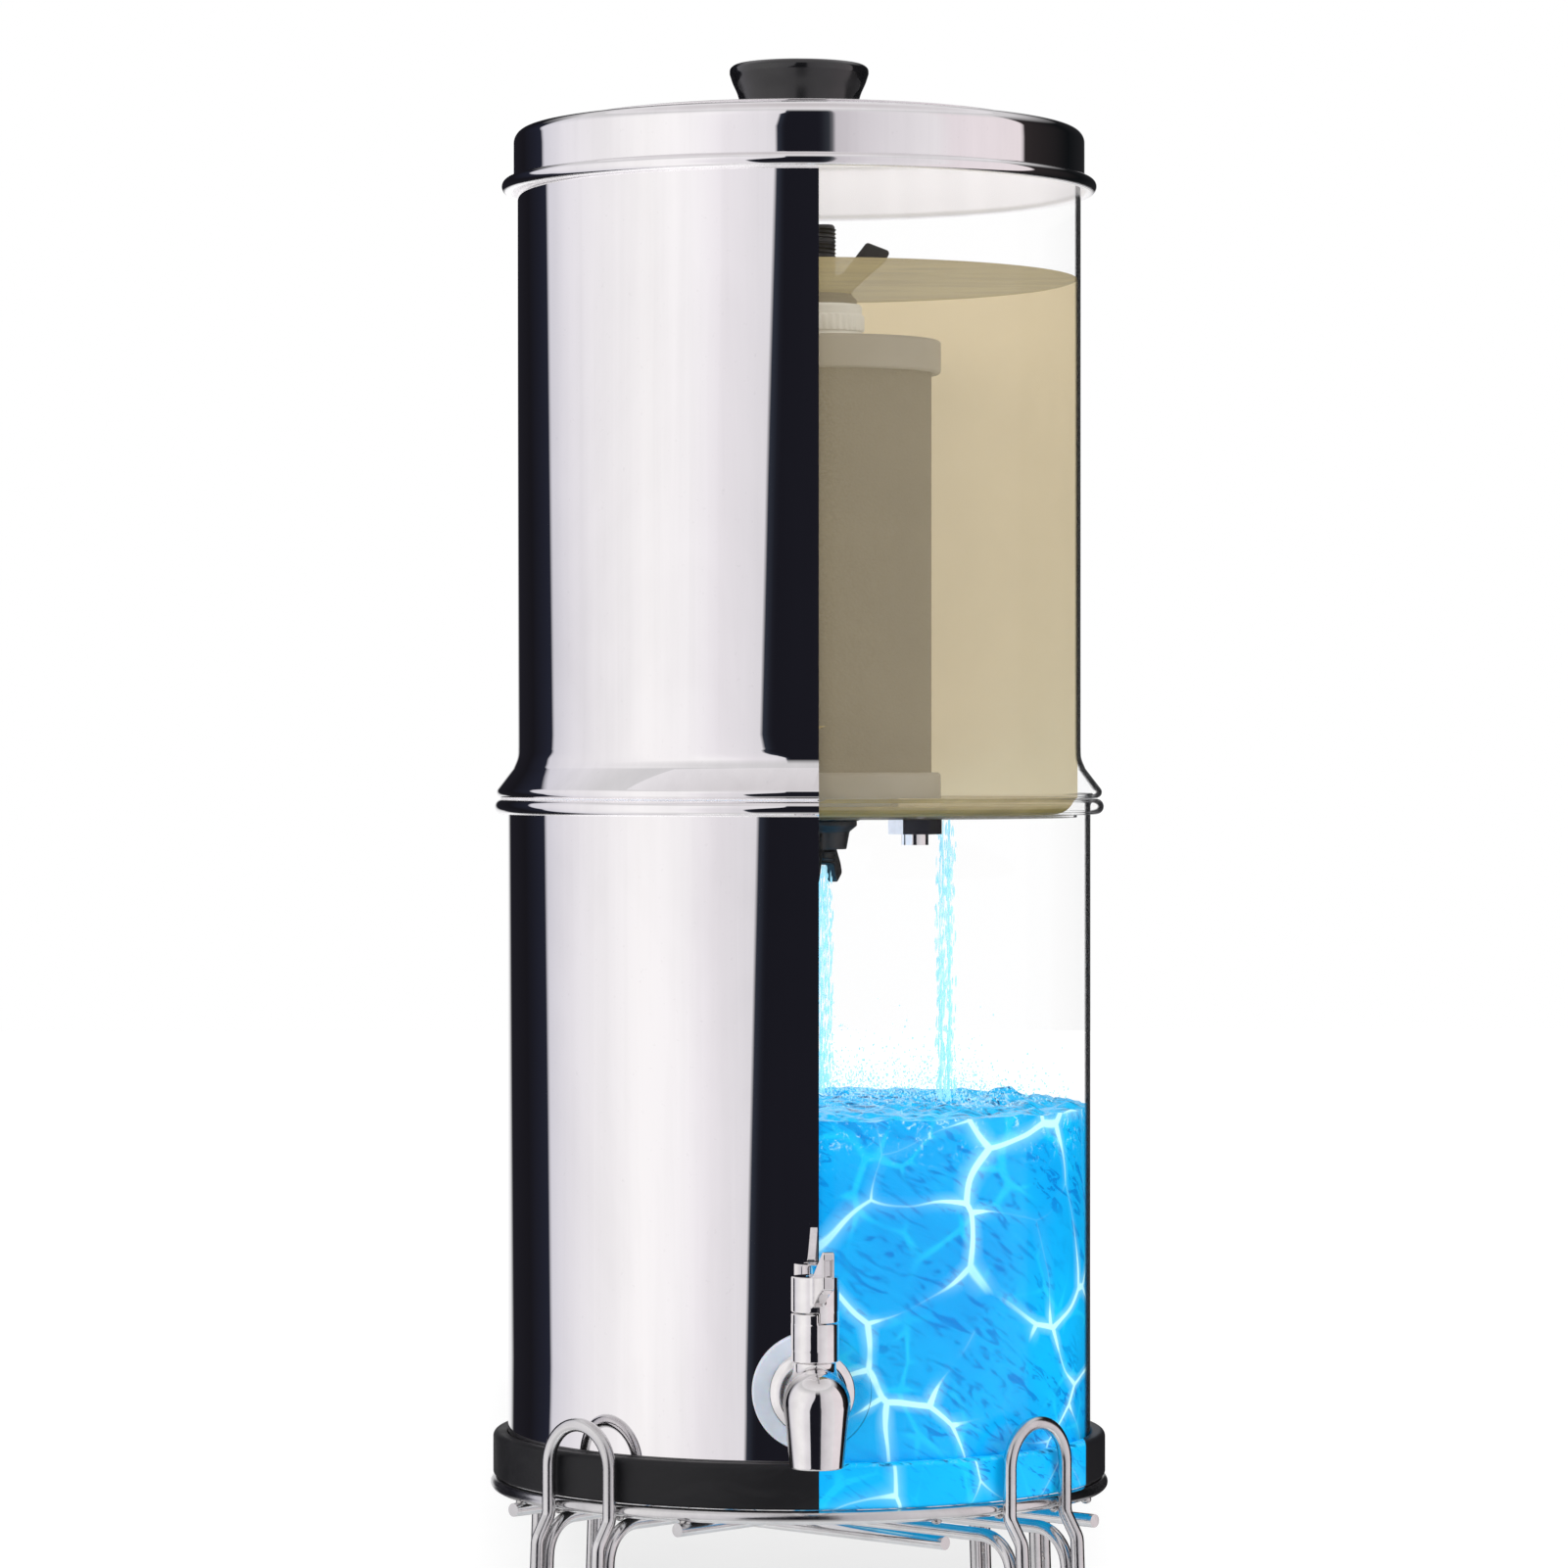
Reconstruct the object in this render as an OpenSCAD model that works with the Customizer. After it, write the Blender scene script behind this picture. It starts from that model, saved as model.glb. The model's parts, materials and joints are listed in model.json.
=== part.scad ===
// Gravity water filter: two stacked steel chambers on a wire stand, with a lid, filter elements and a tap.
// Millimetres, +Z up. The origin is on the floor, on the axis of the chambers. The tap points along -Y.

/* [Chambers] */
// Outer radius of the lower chamber
chamber_r = 110; // [90:1:140]
// Thickness of the steel sheet
sheet = 0.8; // [0.6:0.1:1.2]
// Height of the lower chamber, from its base to its rolled rim
lower_h = 251.6; // [190:0.1:340]
// Height of the upper chamber, from its seat to its open edge
upper_h = 248.5; // [236:0.1:340]
// How much smaller the upper chamber's radius is than the lower one's
upper_step = 3.7; // [3:0.1:6]
// Diameter of the lower chamber's rolled rim
rim_bead_d = 5.8; // [4.6:0.2:8]
// Radius of the curl under the upper chamber's flare
flare_curl_r = 2.2; // [1.8:0.1:3]
// Height of the upper chamber's flare
flare_h = 15; // [12:0.5:24]
// How far the upper chamber's floor hangs below the lower chamber's rim
floor_drop = 7; // [4:0.5:12]
// Radius of the rounded edge of each chamber's floor
floor_corner = 9; // [5:0.5:12]

/* [Lid] */
// Radial room between the lid's skirt and the upper chamber
lid_gap = 0.7; // [0.4:0.1:1.5]
// Height of the lid, from the bottom of its bead to its shoulder
lid_h = 24; // [18:0.5:36]
// Radius of the lid's shoulder
lid_corner = 5; // [4:0.5:8]
// Diameter of the bead at the bottom of the lid's skirt
lid_bead_d = 5.3; // [4:0.1:7]
// Rise of the lid's pressed centre above its shoulder
lid_rise = 4; // [2:0.5:10]
// Widest radius of the knob
knob_r = 26.5; // [18:0.5:36]
// Radius of the knob where it meets the lid
knob_foot_r = 21; // [12:0.5:24]
// Height of the knob
knob_h = 21; // [18:0.5:36]

/* [Base ring] */
// Height of the rubber base ring
ring_h = 16.5; // [13:0.5:26]
// Thickness of the ring's wall
ring_wall = 5.5; // [3.5:0.1:8]
// Thickness of the ledge that the lower chamber stands on
ring_ledge = 3; // [2:0.5:6]

/* [Stand] */
// Height of the support hoop above the floor
stand_h = 160; // [120:1:260]
// Diameter of the stand's wire
wire_d = 5; // [4:0.5:6]
// Distance between the two runs of one leg loop
loop_pitch = 31; // [26:1:40]
// Rise of a leg loop above the hoop
loop_rise = 30; // [24:1:60]
// Splay of the legs, in degrees
leg_splay = 2.5; // [1:0.5:6]
// Distance of a grid bar from the diagonal that it runs along
bar_offset = 42; // [36:1:60]
// How far a grid bar's cut end stands out past the hoop
bar_overhang = 1.5; // [0:0.5:6]

/* [Tap] */
// Diameter of the shank that passes through the chamber's wall
shank_d = 16; // [12:0.5:18]
// Radius of the white washer outside the wall
tap_washer_r = 21.5; // [17:0.5:28]
// Thickness of the white washer at its middle
tap_washer_t = 3; // [2:0.5:5]
// Room between the base ring and the white washer
tap_rise = 4.2; // [2:0.2:40]
// Radius of the bonnet and of the handle's cap
bonnet_r = 8.5; // [8:0.1:11]
// Distance of the valve's axis from the chamber's wall
valve_out = 27; // [25:0.5:36]
// Distance from the valve's axis to the spout's axis
spout_reach = 15; // [14:0.5:24]
// Drop from the barrel's axis to the spout's outlet
spout_drop = 22.6; // [19:0.2:34]
// Radius of the spout's round shoulder
shoulder_r = 11.7; // [11.4:0.1:14]
// Radius of the spout at its outlet
outlet_r = 9.45; // [8.6:0.05:11]
// Radius of the bore at the outlet
outlet_bore_r = 6.8; // [5:0.1:7.4]
// Length of the lever beyond the cap
lever_reach = 20.5; // [14:0.5:34]
// Width of the lever
lever_w = 4.2; // [3:0.1:6]
// How far the closed lever stands round from straight ahead, in degrees
lever_turn = 7; // [0:1:15]

/* [Filter elements] */
// Height of an element between its end faces
element_h = 180; // [120:1:182]
// Room between an element and the chamber's wall
element_wall_gap = 3.1; // [2:0.1:20]
// Room between two elements side by side
element_gap = 5.9; // [2:0.1:20]
// Step from an element's cap in to its porous block
block_step = 3.6; // [2:0.1:8]
// Height of an element's end cap
cap_h = 13; // [9:0.5:20]
// Diameter of the threaded stem
stem_d = 10; // [8:0.5:12]
// Height of the white spacer on top of an element
spacer_h = 14; // [8:0.5:18]
// Direction of the first element from the axis, in degrees
element_turn = 78; // [60:1:100]
// How far the lower wing nuts stand turned from the upper ones, in degrees
low_nut_turn = 75; // [0:5:180]

/* [Hidden] */
$fn = 96;
far = 400;

// Clearances
rest_gap = 0.3;      // under a piece that rests on a curved seat
touch = 0.1;         // between wires laid against each other, and round the fixed rubber and glands
fit = 0.05;          // radial room of a shaft in its bore
nip = 0.3;           // between a shaft's end and the end of its bore
lap = 0.3;           // by which parts of one sheet overlap

// Heights and radii of the chambers
base_z = stand_h;
can_z = base_z + ring_ledge;
rim_z = can_z + lower_h;
seat_z = rim_z + rest_gap;
upper_r = chamber_r - upper_step;
upper_top_z = seat_z + upper_h;
rim_bead_r = rim_bead_d / 2;
rim_c_r = chamber_r - sheet + rim_bead_r;

// Upper chamber's floor pan
pan_r = upper_r - sheet - touch;
pan_z = rim_z - floor_drop;
pan_top_z = seat_z + flare_h + 10;
floor_z = pan_z + sheet;

// Lid
lid_in_r = upper_r + lid_gap;
lid_r = lid_in_r + sheet;
lid_round = lid_corner - sheet;
lid_z = upper_top_z + lid_corner - sqrt(pow(lid_round - rest_gap, 2) - pow(lid_round - lid_gap, 2));
lid_bead_r = lid_bead_d / 2;
lid_bead_z = lid_z - lid_h + lid_bead_r;
lid_step_r = lid_r - 16;
lid_panel_r = lid_step_r - 7;
knob_z = lid_z + lid_rise;
knob_screw_r = 2;

// Base ring and stand
ring_in_r = chamber_r + touch;
ring_r = ring_in_r + ring_wall;
hoop_inset = 1.5;
hoop_r = ring_r - hoop_inset;
wire_r = wire_d / 2;
hoop_z = base_z - rest_gap - wire_r;
half_pitch = loop_pitch / 2;
loop_r = sqrt(pow(hoop_r + wire_d + touch, 2) - pow(half_pitch, 2));
arch_z = base_z + loop_rise - wire_r - half_pitch;
jog_out = wire_d + 0.8;
jog_h = 9;
jog_top_z = hoop_z - wire_r - 1;
jog_end_z = jog_top_z - jog_h;
leg_r = loop_r + jog_out;
foot_bend = 8;
foot_z = 4;
foot_r = 4.6;
foot_out = leg_r + (jog_end_z - foot_z - foot_bend) * tan(leg_splay);
foot_flat = 2 * (half_pitch - foot_bend);
grid_drop = wire_d + touch;
bend_r = 14;
strut_inset = wire_d + touch + 0.2;
strut_end_z = 24;

// Tap, heights from the barrel's axis
tap_z = base_z + ring_h + tap_rise + tap_washer_r;
shank_r = shank_d / 2;
shank_bore_r = shank_r - 3.4;
shank_in = 14;
socket_h = 9;
flange_r = 15.1;
flange_t = 1.8;
flange_fillet = 8;
barrel_r = 11;
water_r = 3.5;
nut_t = 6;
nut_flats = shank_d * 1.5;
inner_washer_r = 15;
inner_washer_t = 3;
neck_h = 13.4;
plug_r = 5.46;
plug_low = 6.5;
plug_h = 14.5;
spigot_r = 6.5;
spigot_h = 5;
stem_r = 4;
low_land = 27.2;
land_h = 3.6;
cap_low = low_land + land_h + nip;
cap_top = 43.9;
stem_top = cap_top - 5;
cap_screw_r = 1.5;
cap_screw_head_r = 3;
quarter_turn = 90;
skirt_a = 135;
stop_a = 1.5;
closed_a = lever_turn - 90;
oring_r = 0.5;
oring_z = [17, 21];

// Filter elements, heights from the upper face of the chamber's floor
pan_in_r = pan_r - sheet;
element_r = (pan_in_r - element_wall_gap - element_gap / sqrt(3)) / (1 + 2 / sqrt(3));
hole_circle_r = pan_in_r - element_wall_gap - element_r;
block_r = element_r - block_step;
core_r = 12;
cap_plate = 4;
gasket_r = 16;
gasket_t = 3;
low_gasket_r = 14;
low_gasket_t = 2;
tie_r = stem_d / 2;
tie_bore_r = tie_r - 2;
nut_h = 11;
tie_up = 20;
tie_down = 6;
element_z = gasket_t;
spacer_z = element_z + element_h;
nut_z = spacer_z + spacer_h;
low_nut_z = -sheet - low_gasket_t;
plug_head_r = 10;

// ---------------------------------------------------------------- shared sections and wires

// Half section of a solid can with a rounded bottom edge.
module can_section(r, h, corner) {
    square([r - corner, h]);
    translate([0, corner]) square([r, h - corner]);
    translate([r - corner, corner]) circle(corner);
}

// Section of a rolled edge: a ring of sheet, open between two angles.
module curl_section(r, gap_from, gap_to) {
    steps = 4;
    turn = (gap_to - gap_from) / steps;
    difference() {
        circle(r);
        circle(r - sheet);
        polygon(concat([[0, 0]],
            [for (i = [0 : steps]) 3 * r * [cos(gap_from + turn * i), sin(gap_from + turn * i)]]));
    }
}

// A straight run of wire from one point to another.
module rod(from, to) {
    run = to - from;
    translate(from) rotate([0, acos(run.z / norm(run)), atan2(run.y, run.x)])
        cylinder(h = norm(run), d = wire_d);
}

// A quarter bend of wire in the XZ plane. It starts at the origin, runs along +X and turns down.
module bend_down(r) {
    translate([0, 0, -r]) rotate([90, 0, 0]) rotate_extrude(angle = 90)
        translate([r, 0]) circle(d = wire_d);
}

// A joint between two runs of wire, a hair fatter than the wire.
module joint(at) {
    translate(at) sphere(d = wire_d * 1.01);
}

// Turns its children to one of the four diagonals, counted anticlockwise from front left.
module at_leg(i) {
    rotate([0, 0, 225 + 90 * i]) children();
}

// ---------------------------------------------------------------- stand

module stand_hoop() {
    color("silver") translate([0, 0, hoop_z]) rotate_extrude() translate([hoop_r, 0]) circle(d = wire_d);
}

// One leg: an arch beside the base ring, a jog outward under the hoop, two splayed runs and a flat foot.
module leg_loop(i) {
    color("silver") at_leg(i) {
        translate([loop_r, 0, arch_z]) rotate([0, 0, 90]) rotate([90, 0, 0])
            rotate_extrude(angle = 180) translate([half_pitch, 0]) circle(d = wire_d);
        translate([foot_out, -half_pitch + foot_bend, foot_z]) rotate([-90, 0, 0])
            cylinder(h = foot_flat, d = wire_d);
        for (side = [0, 1]) mirror([0, side, 0]) {
            joint([loop_r, half_pitch, arch_z]);
            translate([loop_r, half_pitch, jog_top_z]) cylinder(h = arch_z - jog_top_z, d = wire_d);
            joint([loop_r, half_pitch, jog_top_z]);
            rod([loop_r, half_pitch, jog_top_z], [leg_r, half_pitch, jog_end_z]);
            joint([leg_r, half_pitch, jog_end_z]);
            rod([foot_out, half_pitch, foot_z + foot_bend], [leg_r, half_pitch, jog_end_z]);
            joint([foot_out, half_pitch, foot_z + foot_bend]);
            translate([foot_out, half_pitch - foot_bend, foot_z + foot_bend]) rotate([0, 0, 90])
                rotate([90, 0, 0]) rotate([0, 0, -90]) rotate_extrude(angle = 90)
                    translate([foot_bend, 0]) circle(d = wire_d);
            joint([foot_out, half_pitch - foot_bend, foot_z]);
        }
    }
}

// A rubber sleeve on the flat of a foot, ground flat where it stands.
module foot(i) {
    length = foot_flat - 1;
    color("dimgray") at_leg(i) difference() {
        translate([foot_out, length / 2, foot_z]) rotate([90, 0, 0]) cylinder(h = length, r = foot_r);
        translate([foot_out, far / 2, foot_z]) rotate([90, 0, 0]) cylinder(h = far, r = wire_r + fit);
        translate([foot_out - far / 2, -far / 2, -far]) cube(far);
    }
}

// A wire that crosses under the hoop from one leg to the opposite one and turns down beside both.
module support_wire(z) {
    splay_out = tan(leg_splay);
    bend_end_z = z - bend_r;
    line_r = leg_r - strut_inset + (jog_end_z - bend_end_z) * splay_out;
    foot_line_r = line_r + (bend_end_z - strut_end_z) * splay_out;
    for (side = [0, 1]) mirror([side, 0, 0]) {
        translate([0, 0, z]) rotate([0, 90, 0]) cylinder(h = line_r - bend_r, d = wire_d);
        joint([line_r - bend_r, 0, z]);
        translate([line_r - bend_r, 0, z]) bend_down(bend_r);
        joint([line_r, 0, bend_end_z]);
        rod([line_r, 0, bend_end_z], [foot_line_r, 0, strut_end_z]);
    }
}

// The pair of crossing wires along one diagonal.
module support_wires(i, z) {
    color("silver") at_leg(i) {
        for (side = [-1, 1]) translate([0, side * half_pitch, 0]) support_wire(z);
    }
}

// The pair of straight bars along one diagonal, cut off just past the hoop.
module grid_bars(i, z) {
    reach = sqrt(pow(hoop_r + wire_r + bar_overhang, 2) - pow(bar_offset, 2));
    color("silver") at_leg(i) {
        for (side = [-1, 1]) translate([-reach, side * bar_offset, z]) rotate([0, 90, 0])
            cylinder(h = 2 * reach, d = wire_d);
    }
}

// ---------------------------------------------------------------- lower chamber

module base_ring() {
    seat = floor_corner + rest_gap;
    bevel = 1.5;
    color("#1d1d20") translate([0, 0, base_z]) rotate_extrude() difference() {
        union() {
            translate([ring_in_r - floor_corner - 3, 0]) square([floor_corner + 3 + ring_wall, ring_ledge]);
            translate([ring_in_r - touch - floor_corner, 0])
                square([floor_corner + touch + ring_wall, ring_h]);
        }
        translate([ring_in_r - touch - floor_corner, ring_ledge + floor_corner]) circle(seat);
        translate([0, ring_ledge + floor_corner]) square([ring_in_r, ring_h]);
        translate([0, ring_ledge]) square([ring_in_r - touch - floor_corner, ring_h]);
        polygon([[ring_r - bevel, ring_h], [ring_r + 1, ring_h + 1], [ring_r, ring_h - bevel]]);
        polygon([[ring_r - bevel, 0], [ring_r + 1, -1], [ring_r, bevel]]);
    }
}

module lower_chamber() {
    color("gainsboro") difference() {
        translate([0, 0, can_z]) rotate_extrude() {
            difference() {
                can_section(chamber_r, lower_h - rim_bead_r, floor_corner);
                translate([0, sheet]) can_section(chamber_r - sheet, lower_h, floor_corner - sheet);
            }
            translate([rim_c_r, lower_h - rim_bead_r]) curl_section(rim_bead_r, 180, 250);
        }
        translate([0, 0, tap_z]) rotate([90, 0, 0]) cylinder(h = far, r = shank_r + touch);
    }
}

// ---------------------------------------------------------------- tap

// Puts its children on the barrel's axis, with +Z outward from the face of the chamber.
module at_tap(out) {
    translate([0, -chamber_r - out, tap_z]) rotate([90, 0, 0]) children();
}

// Puts its children on the valve's axis, upright.
module at_valve() {
    translate([0, -chamber_r - valve_out, tap_z]) children();
}

module tap_shank() {
    color("lightgray") at_tap(-shank_in - sheet) difference() {
        cylinder(h = shank_in + sheet + tap_washer_t + socket_h - nip, r = shank_r);
        translate([0, 0, -1]) cylinder(h = far, r = shank_bore_r);
    }
}

module tap_washer_outer() {
    color("#dfe6ee") difference() {
        at_tap(-tap_washer_r / 2) cylinder(h = tap_washer_r / 2 + tap_washer_t, r = tap_washer_r);
        cylinder(h = rim_z, r = chamber_r + fit, $fn = 720);
        at_tap(-tap_washer_r) cylinder(h = far, r = shank_r + touch);
    }
}

module tap_washer_inner() {
    color("#dfe6ee") difference() {
        intersection() {
            at_tap(-sheet - inner_washer_t) cylinder(h = inner_washer_t + sheet, r = inner_washer_r);
            cylinder(h = rim_z, r = chamber_r - sheet - fit, $fn = 720);
        }
        at_tap(-inner_washer_r) cylinder(h = far, r = shank_r + touch);
    }
}

module tap_nut() {
    color("lightgray") at_tap(-sheet - inner_washer_t - touch - nut_t) difference() {
        cylinder(h = nut_t, r = nut_flats / sqrt(3), $fn = 6);
        translate([0, 0, -1]) cylinder(h = far, r = shank_r + fit);
    }
}

// The spout's half section about its upright axis: a round shoulder and a taper that leaves it at a tangent.
module spout_section() {
    lip = [outlet_r, -spout_drop];
    tangent_a = atan2(lip.y, lip.x) + acos(shoulder_r / norm(lip));
    intersection() {
        circle(shoulder_r);
        translate([0, -shoulder_r]) square([shoulder_r, 2 * shoulder_r]);
    }
    polygon([[0, 0], shoulder_r * [cos(tangent_a), sin(tangent_a)], lip, [0, lip.y]]);
}

// One casting: the flange and barrel, the spout, and the neck that the bonnet screws into.
module tap_body() {
    color("lightgray") difference() {
        union() {
            at_tap(tap_washer_t) rotate_extrude() {
                difference() {
                    square([flange_r, flange_t + flange_fillet]);
                    translate([barrel_r + flange_fillet, flange_t + flange_fillet]) circle(flange_fillet);
                }
                square([barrel_r, valve_out + spout_reach - tap_washer_t]);
            }
            at_valve() translate([0, -spout_reach, 0]) rotate_extrude() spout_section();
            at_valve() cylinder(h = neck_h, r = bonnet_r - 1);
        }
        at_tap(tap_washer_t - 1) cylinder(h = socket_h + 1, r = shank_r + fit);
        at_tap(0) cylinder(h = valve_out + spout_reach, r = water_r);
        at_valve() translate([0, 0, -plug_low - nip]) cylinder(h = far, r = plug_r + fit);
        at_valve() translate([0, 0, neck_h - spigot_h - nip]) cylinder(h = far, r = spigot_r + fit);
        at_valve() translate([0, -spout_reach, -spout_drop - 1])
            cylinder(h = spout_drop + 1 + water_r, r = outlet_bore_r);
    }
}

// The bonnet: a tube that guides the stem. Its raised land stops the handle at each end of a quarter turn.
module tap_bonnet() {
    land_a = 360 - skirt_a - quarter_turn - 2 * stop_a;
    color("lightgray") at_valve() difference() {
        union() {
            translate([0, 0, neck_h]) cylinder(h = low_land + land_h - neck_h, r = bonnet_r);
            translate([0, 0, neck_h - spigot_h]) cylinder(h = spigot_h + 1, r = spigot_r);
        }
        translate([0, 0, -1]) cylinder(h = far, r = stem_r + fit);
        translate([0, 0, low_land]) rotate([0, 0, closed_a - stop_a])
            rotate_extrude(angle = 360 - land_a) square([bonnet_r + 1, land_h + 1]);
    }
}

// The valve plug, its water way across the barrel while the tap is closed, and its stem.
module tap_plug() {
    color("gainsboro") at_valve() difference() {
        union() {
            translate([0, 0, -plug_low]) cylinder(h = plug_h, r = plug_r);
            cylinder(h = stem_top, r = stem_r);
        }
        rotate([0, 90, 0]) translate([0, 0, -far / 2]) cylinder(h = far, r = water_r);
        for (z = oring_z) translate([0, 0, z]) difference() {
            cylinder(h = 2 * oring_r + 0.4, r = stem_r + 1);
            translate([0, 0, -1]) cylinder(h = far, r = stem_r - 2 * oring_r - fit / 2);
        }
        translate([0, 0, stem_top - 9]) cylinder(h = far, r = cap_screw_r + fit);
    }
}

module tap_orings() {
    color("#2a2a2a") at_valve() {
        for (z = oring_z) translate([0, 0, z + oring_r + 0.2]) rotate_extrude()
            translate([stem_r - oring_r, 0]) circle(oring_r);
    }
}

// The lever's side outline, its root on the cap's axis and its thumb end high and forward.
module lever_outline() {
    tip = bonnet_r + lever_reach;
    corner = 1.2;
    hull() {
        translate([bonnet_r - 3, cap_top - 9.7]) circle(corner, $fn = 24);
        translate([bonnet_r - 3, cap_top - 2]) circle(corner, $fn = 24);
        translate([bonnet_r + 2, cap_top + 1]) circle(corner, $fn = 24);
        translate([tip - corner, cap_top + 9.6]) circle(corner, $fn = 24);
        translate([tip - corner, cap_top - 1.6]) circle(corner, $fn = 24);
        translate([tip - 9, cap_top - 3.6]) circle(corner, $fn = 24);
    }
}

// The handle: a cap whose half skirt turns against the bonnet's land, cast in one with its lever.
module tap_handle() {
    tip = bonnet_r + lever_reach;
    color("lightgray") at_valve() difference() {
        union() {
            translate([0, 0, low_land + nip]) cylinder(h = cap_top - low_land - nip, r = bonnet_r);
            rotate([0, 0, closed_a]) translate([0, lever_w / 2, 0]) rotate([90, 0, 0])
                linear_extrude(lever_w) lever_outline();
        }
        translate([0, 0, -1]) cylinder(h = stem_top + 1.1, r = stem_r + fit);
        translate([0, 0, low_land]) rotate([0, 0, closed_a + skirt_a])
            rotate_extrude(angle = 360 - skirt_a) square([bonnet_r + 1, cap_low - low_land]);
        cylinder(h = far, r = cap_screw_r + fit);
        translate([0, 0, cap_top - 2]) cylinder(h = far, r = cap_screw_head_r + fit);
        rotate([0, 0, closed_a]) translate([tip - 2.6, -lever_w / 2 + 0.9, cap_top + 2])
            cube([far, lever_w - 1.8, 6.2]);
    }
}

module tap_handle_screw() {
    slot = 0.9;
    color("lightgray") at_valve() difference() {
        union() {
            translate([0, 0, cap_top - 2 + touch]) cylinder(h = 1.7, r = cap_screw_head_r);
            translate([0, 0, stem_top - 8]) cylinder(h = 8 + 3.5, r = cap_screw_r);
        }
        translate([-slot / 2, -cap_screw_head_r - 1, cap_top - 1]) cube([slot, far, 3]);
    }
}

// ---------------------------------------------------------------- upper chamber

// Wall of the upper chamber: straight, then flared out to a curl that stands on the lower rim.
module upper_chamber() {
    curl_c = [rim_c_r, seat_z + flare_curl_r];
    knee = [upper_r + 1.8, seat_z + flare_h - 4];
    reach = knee - curl_c;
    tangent_a = atan2(reach.y, reach.x) - acos(flare_curl_r / norm(reach));
    out = [cos(tangent_a), sin(tangent_a)];
    end = curl_c + lap * [sin(tangent_a), -cos(tangent_a)];
    flare_z = seat_z + flare_h;
    color("gainsboro") {
        rotate_extrude() polygon([[upper_r - sheet, upper_top_z], [upper_r, upper_top_z], [upper_r, flare_z], knee,
            end + (flare_curl_r - lap / 5) * out, end + (flare_curl_r - sheet + lap / 5) * out,
            knee - sheet * out, [upper_r - sheet, flare_z]]);
        rotate_extrude() translate(curl_c) curl_section(flare_curl_r, tangent_a, 200);
    }
}

// Puts its children over one of the three holes of the chamber's floor.
module at_hole(i) {
    turn = element_turn + 120 * i;
    translate([hole_circle_r * cos(turn), hole_circle_r * sin(turn), floor_z]) children();
}

module chamber_floor() {
    color("gainsboro") difference() {
        translate([0, 0, pan_z]) rotate_extrude() difference() {
            can_section(pan_r, pan_top_z - pan_z, floor_corner);
            translate([0, sheet]) can_section(pan_r - sheet, far, floor_corner - sheet);
        }
        for (i = [0 : 2]) at_hole(i) translate([0, 0, -far / 2]) cylinder(h = far, r = tie_r + 0.3);
    }
}

// ---------------------------------------------------------------- filter elements

// An element's end cap, its open side up. The block stands in its recess.
module end_cap() {
    bevel = 2;
    difference() {
        rotate_extrude() polygon([[0, 0], [element_r - 1, 0], [element_r, 1], [element_r, cap_h - bevel],
            [element_r - bevel, cap_h], [0, cap_h]]);
        translate([0, 0, cap_plate]) cylinder(h = far, r = block_r + touch);
        translate([0, 0, -1]) cylinder(h = far, r = tie_r + touch);
    }
}

module element_bottom_cap(i) {
    color("#4b4844") at_hole(i) translate([0, 0, element_z]) end_cap();
}

module element_top_cap(i) {
    color("#4b4844") at_hole(i) translate([0, 0, spacer_z]) mirror([0, 0, 1]) end_cap();
}

module element_block(i) {
    color("#3d3a36") at_hole(i) translate([0, 0, element_z + cap_plate]) difference() {
        cylinder(h = element_h - 2 * cap_plate, r = block_r);
        translate([0, 0, -1]) cylinder(h = far, r = core_r);
    }
}

// The tube that ties an element together and carries its water down through the floor.
module element_stem(i) {
    low = low_nut_z - nut_h - tie_down;
    inlet_z = [40, 90, 140];
    color("#262422") at_hole(i) difference() {
        translate([0, 0, low]) cylinder(h = nut_z + nut_h + tie_up - low, r = tie_r);
        translate([0, 0, low - 1]) cylinder(h = spacer_z - low, r = tie_bore_r);
        for (z = inlet_z) translate([-tie_r - 1, 0, z]) rotate([0, 90, 0])
            cylinder(h = 2 * tie_r + 2, r = 1.5);
    }
}

module element_spacer(i) {
    color("#e8e8e4") at_hole(i) translate([0, 0, spacer_z]) difference() {
        union() {
            cylinder(h = spacer_h, r = gasket_r - 1);
            translate([0, 0, spacer_h * 0.25]) cylinder(h = spacer_h * 0.45, r = gasket_r);
        }
        translate([0, 0, -1]) cylinder(h = far, r = tie_r + touch);
    }
}

// The rubber rings above and below the floor.
module element_gaskets(i) {
    color("#2a2a2a") at_hole(i) difference() {
        union() {
            cylinder(h = gasket_t, r = gasket_r);
            translate([0, 0, -sheet - low_gasket_t]) cylinder(h = low_gasket_t, r = low_gasket_r);
        }
        translate([0, 0, -far / 2]) cylinder(h = far, r = tie_r + touch);
    }
}

// A wing nut that stands on the origin, its two ears swept up and out.
module wing_nut() {
    ear_t = 3.2;
    flange = tie_r + 8;
    difference() {
        union() {
            rotate_extrude() polygon([[0, 0], [flange, 0], [flange, 2], [tie_r + 5, 4], [tie_r + 4, nut_h],
                [0, nut_h]]);
            for (side = [0, 180]) rotate([0, 0, side]) translate([0, ear_t / 2, 0]) rotate([90, 0, 0])
                linear_extrude(ear_t) hull() {
                    translate([tie_r + 2, 4]) circle(1.5, $fn = 24);
                    translate([tie_r + 2, nut_h - 2]) circle(1.5, $fn = 24);
                    translate([tie_r + 18, nut_h + 8]) circle(2.5, $fn = 24);
                    translate([tie_r + 12.5, nut_h + 11]) circle(2, $fn = 24);
                }
        }
        translate([0, 0, -1]) cylinder(h = far, r = tie_r + fit);
    }
}

module wing_nut_upper(i) {
    color("#262422") at_hole(i) translate([0, 0, nut_z]) wing_nut();
}

module wing_nut_lower(i) {
    color("#262422") at_hole(i) translate([0, 0, low_nut_z]) rotate([0, 0, low_nut_turn])
        mirror([0, 0, 1]) wing_nut();
}

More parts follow.
